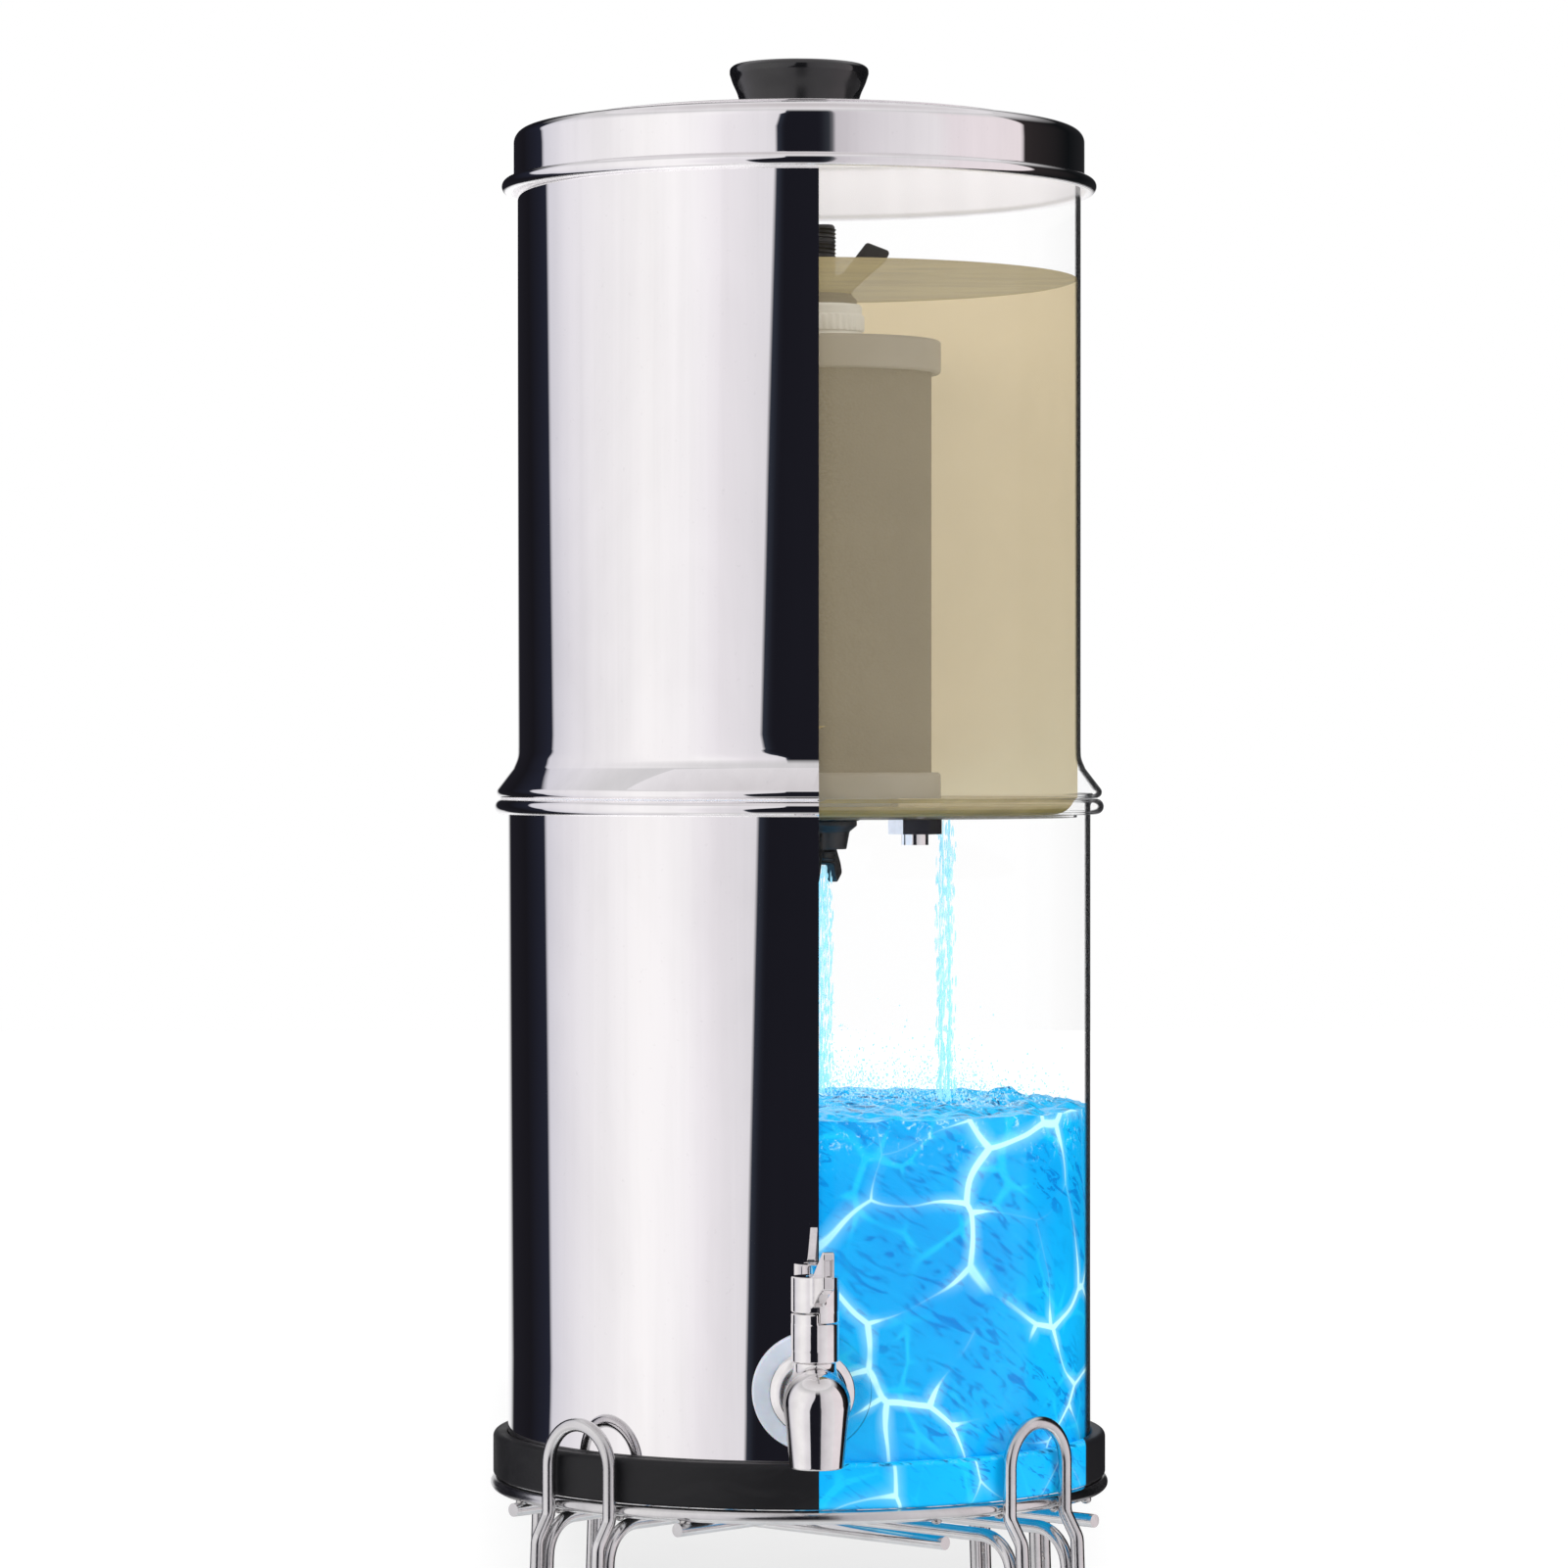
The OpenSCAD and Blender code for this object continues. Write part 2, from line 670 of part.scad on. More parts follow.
// ---------------------------------------------------------------- blanked hole

module blanking_plug() {
    color("gainsboro") at_hole(2) {
        translate([0, 0, gasket_t]) cylinder(h = 3.5, r = plug_head_r);
        translate([0, 0, low_nut_z - 8]) cylinder(h = 8 - low_nut_z + gasket_t + 1, r = tie_r);
    }
}

module plug_gasket() {
    color("#2a2a2a") at_hole(2) difference() {
        cylinder(h = gasket_t, r = plug_head_r + 2);
        translate([0, 0, -1]) cylinder(h = far, r = tie_r + touch);
    }
}

module plug_nut() {
    color("gainsboro") at_hole(2) translate([0, 0, -sheet - nut_t]) difference() {
        cylinder(h = nut_t, r = stem_d, $fn = 6);
        translate([0, 0, -1]) cylinder(h = far, r = tie_r + fit);
    }
}

// ---------------------------------------------------------------- lid

module lid_shell() {
    in_r = lid_step_r - lap;
    color("gainsboro") {
        rotate_extrude() {
            translate([0, lid_z]) mirror([0, 1]) difference() {
                can_section(lid_r, lid_z - lid_bead_z, lid_corner);
                translate([0, sheet]) can_section(lid_in_r, far, lid_round);
                square([in_r, far]);
            }
            translate([lid_in_r + lid_bead_r, lid_bead_z]) curl_section(lid_bead_r, 120, 180);
        }
        translate([0, 0, lid_z]) rotate_extrude() polygon([[knob_screw_r + touch, lid_rise],
            [knob_foot_r + 1, lid_rise], [lid_panel_r, lid_rise - 1], [lid_step_r, 0],
            [lid_step_r, -sheet], [lid_step_r - 1, -sheet],
            [lid_panel_r - 1, lid_rise - 1 - sheet], [knob_foot_r + 1, lid_rise - sheet],
            [knob_screw_r + touch, lid_rise - sheet]]);
    }
}

// The knob flares up to a rounded lip round a shallow dish.
module lid_knob() {
    lip = 2.6;
    dish = 1.6;
    dish_r = (pow(knob_r - lip, 2) + pow(dish, 2)) / (2 * dish);
    color("#151515") translate([0, 0, knob_z]) difference() {
        rotate_extrude() difference() {
            union() {
                polygon([[0, 0], [knob_foot_r, 0], [knob_foot_r + 1.2, 5], [knob_r - 3.2, knob_h - 11],
                    [knob_r - 0.5, knob_h - 4.4], [knob_r - lip, knob_h], [0, knob_h]]);
                translate([knob_r - lip, knob_h - lip]) circle(lip);
            }
            translate([0, knob_h - dish + dish_r]) circle(dish_r);
        }
        translate([0, 0, -1]) cylinder(h = 16, r = knob_screw_r + fit);
    }
}

module knob_screw() {
    under = lid_rise - sheet;
    color("lightgray") translate([0, 0, lid_z + under]) {
        translate([0, 0, -1.2]) cylinder(h = sheet + 14 + 1.2, r = knob_screw_r);
        translate([0, 0, -3.4]) cylinder(h = 2.2, r = knob_screw_r * 2);
    }
}

module knob_washer() {
    color("lightgray") translate([0, 0, lid_z + lid_rise - sheet - 1.2]) difference() {
        cylinder(h = 1.2, r = knob_screw_r * 3.4);
        translate([0, 0, -1]) cylinder(h = far, r = knob_screw_r + touch);
    }
}

// ---------------------------------------------------------------- nodes

stand_hoop();
leg_loop(0);  // leg_loop_front_left
leg_loop(1);  // leg_loop_front_right
leg_loop(2);  // leg_loop_rear_right
leg_loop(3);  // leg_loop_rear_left
support_wires(0, hoop_z - grid_drop);  // support_wires_upper
support_wires(1, hoop_z - 2 * grid_drop);  // support_wires_lower
grid_bars(0, hoop_z - grid_drop);  // grid_bars_upper
grid_bars(1, hoop_z - 2 * grid_drop);  // grid_bars_lower
foot(0);  // foot_front_left
foot(1);  // foot_front_right
foot(2);  // foot_rear_right
foot(3);  // foot_rear_left
base_ring();
lower_chamber();
tap_shank();
tap_washer_outer();
tap_washer_inner();
tap_nut();
tap_body();
tap_bonnet();
tap_plug();
tap_orings();
tap_handle();
tap_handle_screw();
upper_chamber();
chamber_floor();
element_bottom_cap(0);  // element_a_bottom_cap
element_block(0);  // element_a_block
element_top_cap(0);  // element_a_top_cap
element_stem(0);  // element_a_stem
element_spacer(0);  // element_a_spacer
element_gaskets(0);  // element_a_gaskets
element_bottom_cap(1);  // element_b_bottom_cap
element_block(1);  // element_b_block
element_top_cap(1);  // element_b_top_cap
element_stem(1);  // element_b_stem
element_spacer(1);  // element_b_spacer
element_gaskets(1);  // element_b_gaskets
blanking_plug();
plug_gasket();
plug_nut();
wing_nut_upper(0);  // wing_nut_a_upper
wing_nut_lower(0);  // wing_nut_a_lower
wing_nut_upper(1);  // wing_nut_b_upper
wing_nut_lower(1);  // wing_nut_b_lower
lid_shell();
lid_knob();
knob_screw();
knob_washer();
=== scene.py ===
"""Looks of a gravity water filter: two steel chambers, a lid, a lever tap, filter elements and a wire stand.

Sizes are in millimetres where a class holds them, and in metres in every mesh. The right half of the chambers can be
drawn clear, as a display model is cut open, so that the elements and the water show.
"""
import json
import logging
import math
from dataclasses import dataclass
from enum import Enum
from itertools import product
from typing import Callable, Iterable, Sequence

import bmesh
import bpy
import numpy as np
from mathutils import Matrix, Vector


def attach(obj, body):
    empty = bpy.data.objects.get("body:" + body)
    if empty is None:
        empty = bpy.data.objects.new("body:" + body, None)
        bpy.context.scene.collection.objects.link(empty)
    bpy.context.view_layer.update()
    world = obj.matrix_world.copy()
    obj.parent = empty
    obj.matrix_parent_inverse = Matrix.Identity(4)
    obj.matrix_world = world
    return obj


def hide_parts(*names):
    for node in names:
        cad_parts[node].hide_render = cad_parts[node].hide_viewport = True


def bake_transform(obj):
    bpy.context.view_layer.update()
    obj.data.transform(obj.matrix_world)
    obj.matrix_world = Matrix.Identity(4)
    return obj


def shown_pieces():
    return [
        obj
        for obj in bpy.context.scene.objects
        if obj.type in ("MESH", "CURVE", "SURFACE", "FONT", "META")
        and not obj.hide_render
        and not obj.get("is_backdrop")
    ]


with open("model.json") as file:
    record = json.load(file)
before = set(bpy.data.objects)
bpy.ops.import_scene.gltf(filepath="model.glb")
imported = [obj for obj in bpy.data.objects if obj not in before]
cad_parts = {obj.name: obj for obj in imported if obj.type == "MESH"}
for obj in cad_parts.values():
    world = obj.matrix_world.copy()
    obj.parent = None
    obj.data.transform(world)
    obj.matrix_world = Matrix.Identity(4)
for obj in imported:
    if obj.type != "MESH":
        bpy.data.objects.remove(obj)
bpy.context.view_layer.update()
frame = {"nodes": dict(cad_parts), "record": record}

Point = tuple[float, float]
Triple = tuple[float, float, float]
Colour = Triple
Socket = bpy.types.NodeSocket
Piece = bpy.types.Object
Material = bpy.types.Material
Bend = Callable[[np.ndarray], np.ndarray]

LOG = logging.getLogger("water_filter")
MM = 0.001
FINE = 256
SHARP = math.radians(32)
WELD = 1e-7
CLEAR_GAP = 0.1
WATER_GAP = 0.35
FULL_TURN = 2 * math.pi
WHITE = (1.0, 1.0, 1.0)


class Display(Enum):
    """How the chambers are shown."""

    WHOLE = "steel all round"
    CUTAWAY = "right half clear"


class Side(Enum):
    """The two sides of the cut through the chambers."""

    STEEL = -1
    CLEAR = 1


@dataclass(frozen=True)
class Datum:
    """Heights and radii that several pieces share, in millimetres."""

    sheet: float = 0.8
    corner: float = 9.0
    chamber_r: float = 110.0
    can_z: float = 163.0
    rim_z: float = 414.6
    seat_z: float = 414.9
    upper_r: float = 106.3
    upper_top_z: float = 663.4
    pan_r: float = 105.4
    pan_z: float = 407.6
    floor_z: float = 408.4
    ring_r: float = 115.6
    base_z: float = 160.0
    tap_z: float = 202.2
    valve_out: float = 27.0
    spout_reach: float = 15.0
    spout_drop: float = 22.6
    wire_r: float = 2.5
    hoop_r: float = 114.1
    hoop_z: float = 157.2
    hole_circle: float = 55.97
    first_hole: float = 78.0
    stem_r: float = 5.0
    view_turn: float = 2.2
    cut_out: float = 6.8
    clean_level: float = 299.0
    drips: tuple[Point, ...] = ((11.6, 54.8), (55.5, 0.0))

    def hole(self, number: int) -> Point:
        """Returns: where one of the three holes of the upper floor is."""
        turn = math.radians(self.first_hole + 120 * number)
        return (self.hole_circle * math.cos(turn), self.hole_circle * math.sin(turn))

    def cut_normal(self) -> Vector:
        """Returns: the unit normal of the cut through the chambers, pointing to the clear side."""
        turn = math.radians(self.view_turn)
        return Vector((math.cos(turn), -math.sin(turn), 0.0))

    def can_bend(self) -> Point:
        """Returns: the centre of the lower can's rounded base corner."""
        return (self.chamber_r - self.corner, self.can_z + self.corner)

    def pan_bend(self) -> Point:
        """Returns: the centre of the upper floor's rounded corner."""
        return (self.pan_r - self.corner, self.pan_z + self.corner)


DATUM = Datum()


# ---------------------------------------------------------------- mesh tools


def arc(centre: Point, radius: float, start: float, end: float, steps: int = 10) -> list[Point]:
    """Points on a circle's arc.

    Args:
        centre: The circle's centre.
        radius: Its radius.
        start: First angle in degrees, anticlockwise from +r.
        end: Last angle in degrees.
        steps: Number of chords.

    Returns:
        steps + 1 points from start to end.
    """
    angles = (math.radians(start + (end - start) * i / steps) for i in range(steps + 1))
    return [(centre[0] + radius * math.cos(a), centre[1] + radius * math.sin(a)) for a in angles]


def smooth_line(points: Sequence[Point], steps: int = 6) -> list[Point]:
    """Runs a smooth curve through points.

    Args:
        points: Points that the curve passes.
        steps: Chords between two of them.

    Returns:
        The curve's points, the last one included.
    """
    p = [np.array(points[0]) * 2 - np.array(points[1])] + [np.array(q) for q in points]
    p.append(p[-1] * 2 - p[-2])
    made = []
    for a, b, c, d in zip(p, p[1:], p[2:], p[3:]):
        for t in (i / steps for i in range(steps)):
            made.append(0.5 * (2 * b + (c - a) * t + (2 * a - 5 * b + 4 * c - d) * t ** 2
                               + (3 * b - a - 3 * c + d) * t ** 3))
    made.append(p[-2])
    return [(float(q[0]), float(q[1])) for q in made]


def thicken(line: Sequence[Point], thickness: float) -> list[Point]:
    """Turns the outer line of a sheet's section into a closed outline.

    Args:
        line: Points along one face of the sheet.
        thickness: Sheet thickness, laid to the left of the line's direction.

    Returns:
        The closed outline, without a repeated point.
    """
    points = np.array(line, float)
    ahead = np.diff(points, axis=0)
    ahead /= np.linalg.norm(ahead, axis=1)[:, None]
    sides = np.stack([-ahead[:, 1], ahead[:, 0]], 1)
    normals = np.vstack([sides[:1], sides[:-1] + sides[1:], sides[-1:]])
    normals /= np.linalg.norm(normals, axis=1)[:, None]
    lean = np.vstack([np.ones((1, 1)), np.sum(normals[1:-1] * sides[1:], 1)[:, None], np.ones((1, 1))])
    inner = points + normals / lean * thickness
    return [tuple(p) for p in points] + [tuple(p) for p in inner[::-1]]


def link_object(name: str, data: bpy.types.ID) -> Piece:
    """Links a new object at the origin to the scene.

    Args:
        name: The object's name.
        data: Its mesh or curve.

    Returns:
        The object.
    """
    made = bpy.data.objects.new(name, data)
    bpy.context.scene.collection.objects.link(made)
    return made


def close_mesh(work: bmesh.types.BMesh, mesh: bpy.types.Mesh) -> None:
    """Turns a working mesh's faces outwards and smooth, writes it back and marks its sharp edges.

    Args:
        work: The working mesh, freed here.
        mesh: The mesh that takes it.
    """
    bmesh.ops.recalc_face_normals(work, faces=work.faces)
    for face in work.faces:
        face.smooth = True
    work.to_mesh(mesh)
    work.free()
    mesh.set_sharp_from_angle(angle=SHARP)


def finish_mesh(name: str, mesh: bpy.types.Mesh) -> Piece:
    """Merges doubled corners and puts the faces right.

    Args:
        name: The object's name.
        mesh: Its mesh as drawn.

    Returns:
        An object of the mesh.
    """
    work = bmesh.new()
    work.from_mesh(mesh)
    bmesh.ops.remove_doubles(work, verts=work.verts, dist=WELD)
    close_mesh(work, mesh)
    return link_object(name, mesh)


def mesh_object(name: str, vertices: Iterable, faces: Iterable) -> Piece:
    """Makes a finished object of corners and faces.

    Args:
        name: The object's name.
        vertices: Corners in metres.
        faces: Corner numbers of each face.

    Returns:
        The object.
    """
    mesh = bpy.data.meshes.new(name)
    mesh.from_pydata([tuple(v) for v in vertices], [], [tuple(f) for f in faces])
    return finish_mesh(name, mesh)


def plain_mesh(piece: Piece) -> bpy.types.Mesh:
    """Returns: the piece's shape as plain mesh data, its modifiers run."""
    graph = bpy.context.evaluated_depsgraph_get()
    return bpy.data.meshes.new_from_object(piece.evaluated_get(graph), preserve_all_data_layers=True, depsgraph=graph)


def revolve(name: str, outline: Sequence[Point], axis: Point = (0.0, 0.0), segments: int = FINE,
            shape: Bend | None = None) -> Piece:
    """Turns a closed outline about an upright axis.

    Args:
        name: Piece name.
        outline: Closed outline of (radius, height) in millimetres, without a repeated point.
        axis: Where the axis stands, in millimetres.
        segments: Number of steps round.
        shape: Moves the corners, given and returned as rows of millimetres, before the mesh is made.

    Returns:
        The new object.
    """
    turns = np.linspace(0, FULL_TURN, segments, endpoint=False)
    corners: list[Sequence[float]] = []
    rings: list[list[int]] = []
    for radius, height in outline:
        first = len(corners)
        if radius < 1e-6:
            corners.append((axis[0], axis[1], height))
            rings.append([first] * segments)
            continue
        corners += [(axis[0] + radius * math.cos(t), axis[1] + radius * math.sin(t), height) for t in turns]
        rings.append(list(range(first, first + segments)))
    faces = []
    for here, there in zip(rings, rings[1:] + rings[:1]):
        if here[0] == here[1] and there[0] == there[1]:
            continue
        for i in range(segments):
            j = (i + 1) % segments
            faces.append(list(dict.fromkeys([here[i], here[j], there[j], there[i]])))
    points = np.array(corners)
    return mesh_object(name, (shape(points) if shape else points) * MM, faces)


def cut_at_plane(piece: Piece, side: Side, gap: float = 0.0) -> Piece:
    """Keeps one side of a piece at the cut through the chambers, and closes the cut faces.

    Args:
        piece: The piece, changed in place.
        side: Which side stays.
        gap: How far from the plane the kept side starts, in millimetres.

    Returns:
        The same piece.
    """
    normal = DATUM.cut_normal() * side.value
    at = DATUM.cut_normal() * DATUM.cut_out * MM + normal * gap * MM
    work = bmesh.new()
    work.from_mesh(piece.data)
    everything = work.verts[:] + work.edges[:] + work.faces[:]
    bmesh.ops.bisect_plane(work, geom=everything, dist=WELD, plane_co=at, plane_no=normal, clear_inner=True)
    rim = [e for e in work.edges if e.is_boundary]
    bmesh.ops.triangle_fill(work, use_beauty=True, use_dissolve=False, edges=rim)
    close_mesh(work, piece.data)
    return piece


def drill(piece: Piece, at: Vector, along: Vector, radius: float, length: float) -> Piece:
    """Cuts a round hole through a piece.

    Args:
        piece: The piece, changed in place.
        at: Middle of the hole, in metres.
        along: Its direction.
        radius: Its radius in millimetres.
        length: Its length in millimetres.

    Returns:
        The same piece.
    """
    mesh = bpy.data.meshes.new("drill")
    work = bmesh.new()
    place = Matrix.Translation(at) @ along.to_track_quat("Z", "Y").to_matrix().to_4x4()
    bmesh.ops.create_cone(work, cap_ends=True, segments=64, radius1=radius * MM, radius2=radius * MM,
                          depth=length * MM, matrix=place)
    work.to_mesh(mesh)
    work.free()
    tool = link_object("drill", mesh)
    modifier = piece.modifiers.new("drill", "BOOLEAN")
    modifier.operation, modifier.solver, modifier.object = "DIFFERENCE", "EXACT", tool
    drilled = plain_mesh(piece)
    piece.modifiers.clear()
    piece.data = drilled
    bpy.data.objects.remove(tool)
    return piece


def dress(piece: Piece, material: Material) -> None:
    """Gives a piece one material in all its slots.

    Args:
        piece: The piece to dress.
        material: What fills all its slots.
    """
    if not piece.material_slots:
        piece.data.materials.append(material)
    for place in piece.material_slots:
        place.material = material


def add_node(tree: bpy.types.NodeTree, kind: str, inputs: dict, settings: dict) -> bpy.types.Node:
    """Adds a node to a tree.

    Args:
        tree: The tree.
        kind: Blender's name for the node.
        inputs: Socket name or number to a value, or to an output socket to link.
        settings: Properties of the node.

    Returns:
        The node.
    """
    made = tree.nodes.new(kind)
    for key, value in settings.items():
        setattr(made, key, value)
    for key, value in inputs.items():
        if isinstance(value, Socket):
            tree.links.new(value, made.inputs[key])
        else:
            made.inputs[key].default_value = value
    return made


# ---------------------------------------------------------------- materials


def rgba(colour: Sequence[float]) -> tuple[float, float, float, float]:
    """Returns: a colour with full alpha."""
    return (*colour, 1.0)


def shade(colour: Colour, factor: float) -> Colour:
    """Returns: a colour multiplied by a factor."""
    return (colour[0] * factor, colour[1] * factor, colour[2] * factor)


class Sketch:
    """A node tree of a material or the world, with short calls for the nodes that the finishes share."""

    def __init__(self, name: str, world: bool = False) -> None:
        """Starts an empty tree.

        Args:
            name: Name of the material or world.
            world: Whether it is for the world.
        """
        self.owner = (bpy.data.worlds if world else bpy.data.materials).new(name)
        self.owner.use_nodes = True
        self.tree = self.owner.node_tree
        self.tree.nodes.clear()
        self.out = self.node("OutputWorld" if world else "OutputMaterial")

    def node(self, kind: str, inputs: dict | None = None, **settings: object) -> bpy.types.Node:
        """Returns: a new shader node, its kind given without ShaderNode in front."""
        return add_node(self.tree, "ShaderNode" + kind, inputs or {}, settings)

    def surface(self, shader: Socket) -> bpy.types.ID:
        """Ends the tree in a surface shader, and returns the material or world."""
        self.tree.links.new(shader, self.out.inputs["Surface"])
        return self.owner

    def math(self, how: str, *values: Socket | float, clamp: bool = False) -> Socket:
        """Returns: the result of one Math operation."""
        return self.node("Math", dict(enumerate(values)), operation=how, use_clamp=clamp).outputs[0]

    def vector(self, how: str, inputs: dict) -> bpy.types.bpy_prop_collection:
        """Returns: the outputs of one Vector Math operation."""
        return self.node("VectorMath", inputs, operation=how).outputs

    def split(self, vector: Socket) -> bpy.types.bpy_prop_collection:
        """Returns: a vector's x, y and z outputs."""
        return self.node("SeparateXYZ", {0: vector}).outputs

    def coords(self, stretch: float | Triple = 1.0) -> Socket:
        """Reads the object coordinates.

        Args:
            stretch: What each axis is multiplied by.

        Returns:
            Metres, each axis stretched.
        """
        where = self.node("TexCoord").outputs["Object"]
        scale = stretch if isinstance(stretch, tuple) else (stretch,) * 3
        return self.node("Mapping", {"Vector": where, "Scale": scale}).outputs[0]

    def noise(self, vector: Socket, scale: float, detail: float = 3.0, rough: float = 0.5, warp: float = 0.0) -> Socket:
        """Returns: the grey output of a noise texture."""
        return self.node("TexNoise", {"Vector": vector, "Scale": scale, "Detail": detail, "Roughness": rough,
                                      "Distortion": warp}).outputs["Fac"]

    def cloud(self, stretch: float | Triple, detail: float = 3.0, rough: float = 0.5, warp: float = 0.0) -> Socket:
        """Returns: noise on object coordinates, as many grains a metre along each axis as its stretch."""
        return self.noise(self.coords(stretch), 1.0, detail, rough, warp)

    def spread(self, value: Socket, low: Socket | float, high: Socket | float, start: float = 0.3,
               end: float = 0.7) -> Socket:
        """Returns: value mapped from start..end to low..high, held at the ends."""
        return self.node("MapRange", {"Value": value, "From Min": start, "From Max": end, "To Min": low,
                                      "To Max": high}).outputs[0]

    def step(self, value: Socket, at: float, width: float) -> Socket:
        """Returns: 0 below a value, rising to 1 over the width that ends there."""
        return self.spread(value, 0.0, 1.0, at - width, at)

    def mix(self, share: Socket, first: Socket | float, second: Socket | float) -> Socket:
        """Returns: two numbers mixed by share."""
        return self.node("Mix", {"Factor": share, 2: first, 3: second}, data_type="FLOAT").outputs[0]

    def blend(self, share: Socket | float, first: Socket | Colour, second: Socket | Colour) -> Socket:
        """Returns: two colours mixed by share."""
        first, second = (v if isinstance(v, Socket) else rgba(v) for v in (first, second))
        return self.node("Mix", {"Factor": share, 6: first, 7: second}, data_type="RGBA").outputs[2]

    def drift(self, cloud: Socket, colour: Colour, factor: float) -> Socket:
        """Returns: a colour that a cloud darkens by up to a factor."""
        return self.blend(self.spread(cloud, 0.0, 1.0), colour, shade(colour, factor))

    def join(self, share: Socket, first: Socket, second: Socket) -> Socket:
        """Returns: two shaders mixed by share."""
        return self.node("MixShader", {0: share, 1: first, 2: second}).outputs[0]

    def bump(self, height: Socket, depth: float, strength: float = 1.0, under: Socket | None = None) -> Socket:
        """Returns: a normal bent by a height map whose full depth is in millimetres."""
        inputs = {"Height": height, "Distance": depth * MM, "Strength": strength}
        return self.node("Bump", inputs | ({"Normal": under} if under else {})).outputs[0]

    def facing(self) -> Socket:
        """Returns: 0 where a face looks at the viewer, 1 where it turns away."""
        return self.node("LayerWeight", {"Blend": 0.5}).outputs["Facing"]

    def seen(self) -> Socket:
        """Returns: 1 for what the eye, a mirror or glass sees, 0 for what only lights."""
        path = self.node("LightPath").outputs
        return self.math("MAXIMUM", self.math("MAXIMUM", path["Is Camera Ray"], path["Is Glossy Ray"]),
                         path["Is Transmission Ray"])

    def clear(self, colour: Colour = WHITE) -> Socket:
        """Returns: a see-through shader."""
        return self.node("BsdfTransparent", {"Color": rgba(colour)}).outputs[0]

    def glow(self, colour: Socket | Colour, strength: Socket | float = 1.0) -> Socket:
        """Returns: a shader that gives light."""
        colour = colour if isinstance(colour, Socket) else rgba(colour)
        return self.node("Emission", {"Color": colour, "Strength": strength}).outputs[0]

    def principled(self, **inputs: object) -> Socket:
        """Returns: a Principled shader's output, its sockets given by name with _ for a blank."""
        return self.node("BsdfPrincipled", {key.replace("_", " "): rgba(v) if isinstance(v, tuple) else v
                                            for key, v in inputs.items()}).outputs[0]


@dataclass(frozen=True)
class Finish:
    """A finish: its material's name, its main colour and how its surface is drawn."""

    name: str
    colour: Colour

    def shader(self, s: Sketch) -> Socket:
        """Returns: the surface shader."""
        raise NotImplementedError

    def build(self) -> Material:
        """Returns: the material."""
        s = Sketch(self.name)
        return s.surface(self.shader(s))


@dataclass(frozen=True)
class PolishedSheet(Finish):
    """Mirror-polished stainless sheet with upright polishing haze, satin and painted glow where it faces in or down."""

    name: str = "polished_sheet"
    colour: Colour = (0.93, 0.915, 0.925)
    clear: float = 0.008
    hazy: float = 0.04
    # Painted light: how strongly the faces that look inwards or down glow.
    painted_inner_glow: float = 0.42
    wave: float = 0.5
    satin: float = 0.42
    brushed: float = 0.33
    satin_metal: float = 0.4

    def shader(self, s: Sketch) -> Socket:
        """Draws the polished sheet.

        Args:
            s: The tree being drawn.

        Returns:
            The surface shader.
        """
        normal = s.node("NewGeometry").outputs["Normal"]
        rise = s.split(normal)[2]
        out = s.vector("NORMALIZE", {0: s.coords((1, 1, 0))})[0]
        facing = s.vector("DOT_PRODUCT", {0: normal, 1: out})["Value"]
        inside = s.math("MAXIMUM", s.spread(facing, 1.0, 0.0, -0.6, -0.3), s.spread(rise, 1.0, 0.0, -0.97, -0.75))
        streaks = s.cloud((90, 90, 2.2), 4.0, 0.6, 0.4)
        smudges = s.cloud((9, 9, 4), 5.0, 0.62, 0.8)
        specks = s.cloud(420, 2.0, 0.7)
        haze = s.math("ADD", s.spread(streaks, 0.0, 0.6), s.spread(smudges, 0.0, 0.9, 0.4, 0.75))
        rough = s.mix(inside, s.spread(haze, self.clear, self.hazy, 0.1, 1.4), self.satin)
        rough = s.mix(s.step(rise, 0.99, 0.06), rough, self.brushed)
        tint = s.blend(s.spread(haze, 0.0, 1.0, 0.2, 1.3), self.colour, shade(self.colour, 0.87))
        tint = s.blend(s.spread(specks, 0.0, 0.14, 0.66, 0.8), tint, shade(self.colour, 0.5))
        bent = s.bump(streaks, 0.010, 0.4, s.bump(s.cloud((7, 7, 3), 2.0), self.wave, 0.35))
        # The emission on faces that look inwards or down is painted light that lifts the shaded inside and underside.
        return s.principled(Base_Color=tint, Metallic=s.spread(inside, 1.0, self.satin_metal, 0.0, 1.0),
                            Roughness=rough, Normal=bent, Emission_Color=tint,
                            Emission_Strength=s.spread(inside, 0.0, self.painted_inner_glow, 0.0, 1.0))


@dataclass(frozen=True)
class DrawnWire(Finish):
    """Bright drawn steel wire: polished, with fine rings and a little handling haze."""

    name: str = "drawn_wire"
    colour: Colour = (0.74, 0.735, 0.74)

    def shader(self, s: Sketch) -> Socket:
        """Draws the drawn wire.

        Args:
            s: The tree being drawn.

        Returns:
            The surface shader.
        """
        haze = s.cloud(45, 4.0, 0.6, 0.5)
        return s.principled(Base_Color=s.drift(haze, self.colour, 0.8), Metallic=1.0,
                            Roughness=s.spread(haze, 0.09, 0.26), Normal=s.bump(s.cloud(900, 2.0, 0.6), 0.02, 0.5))


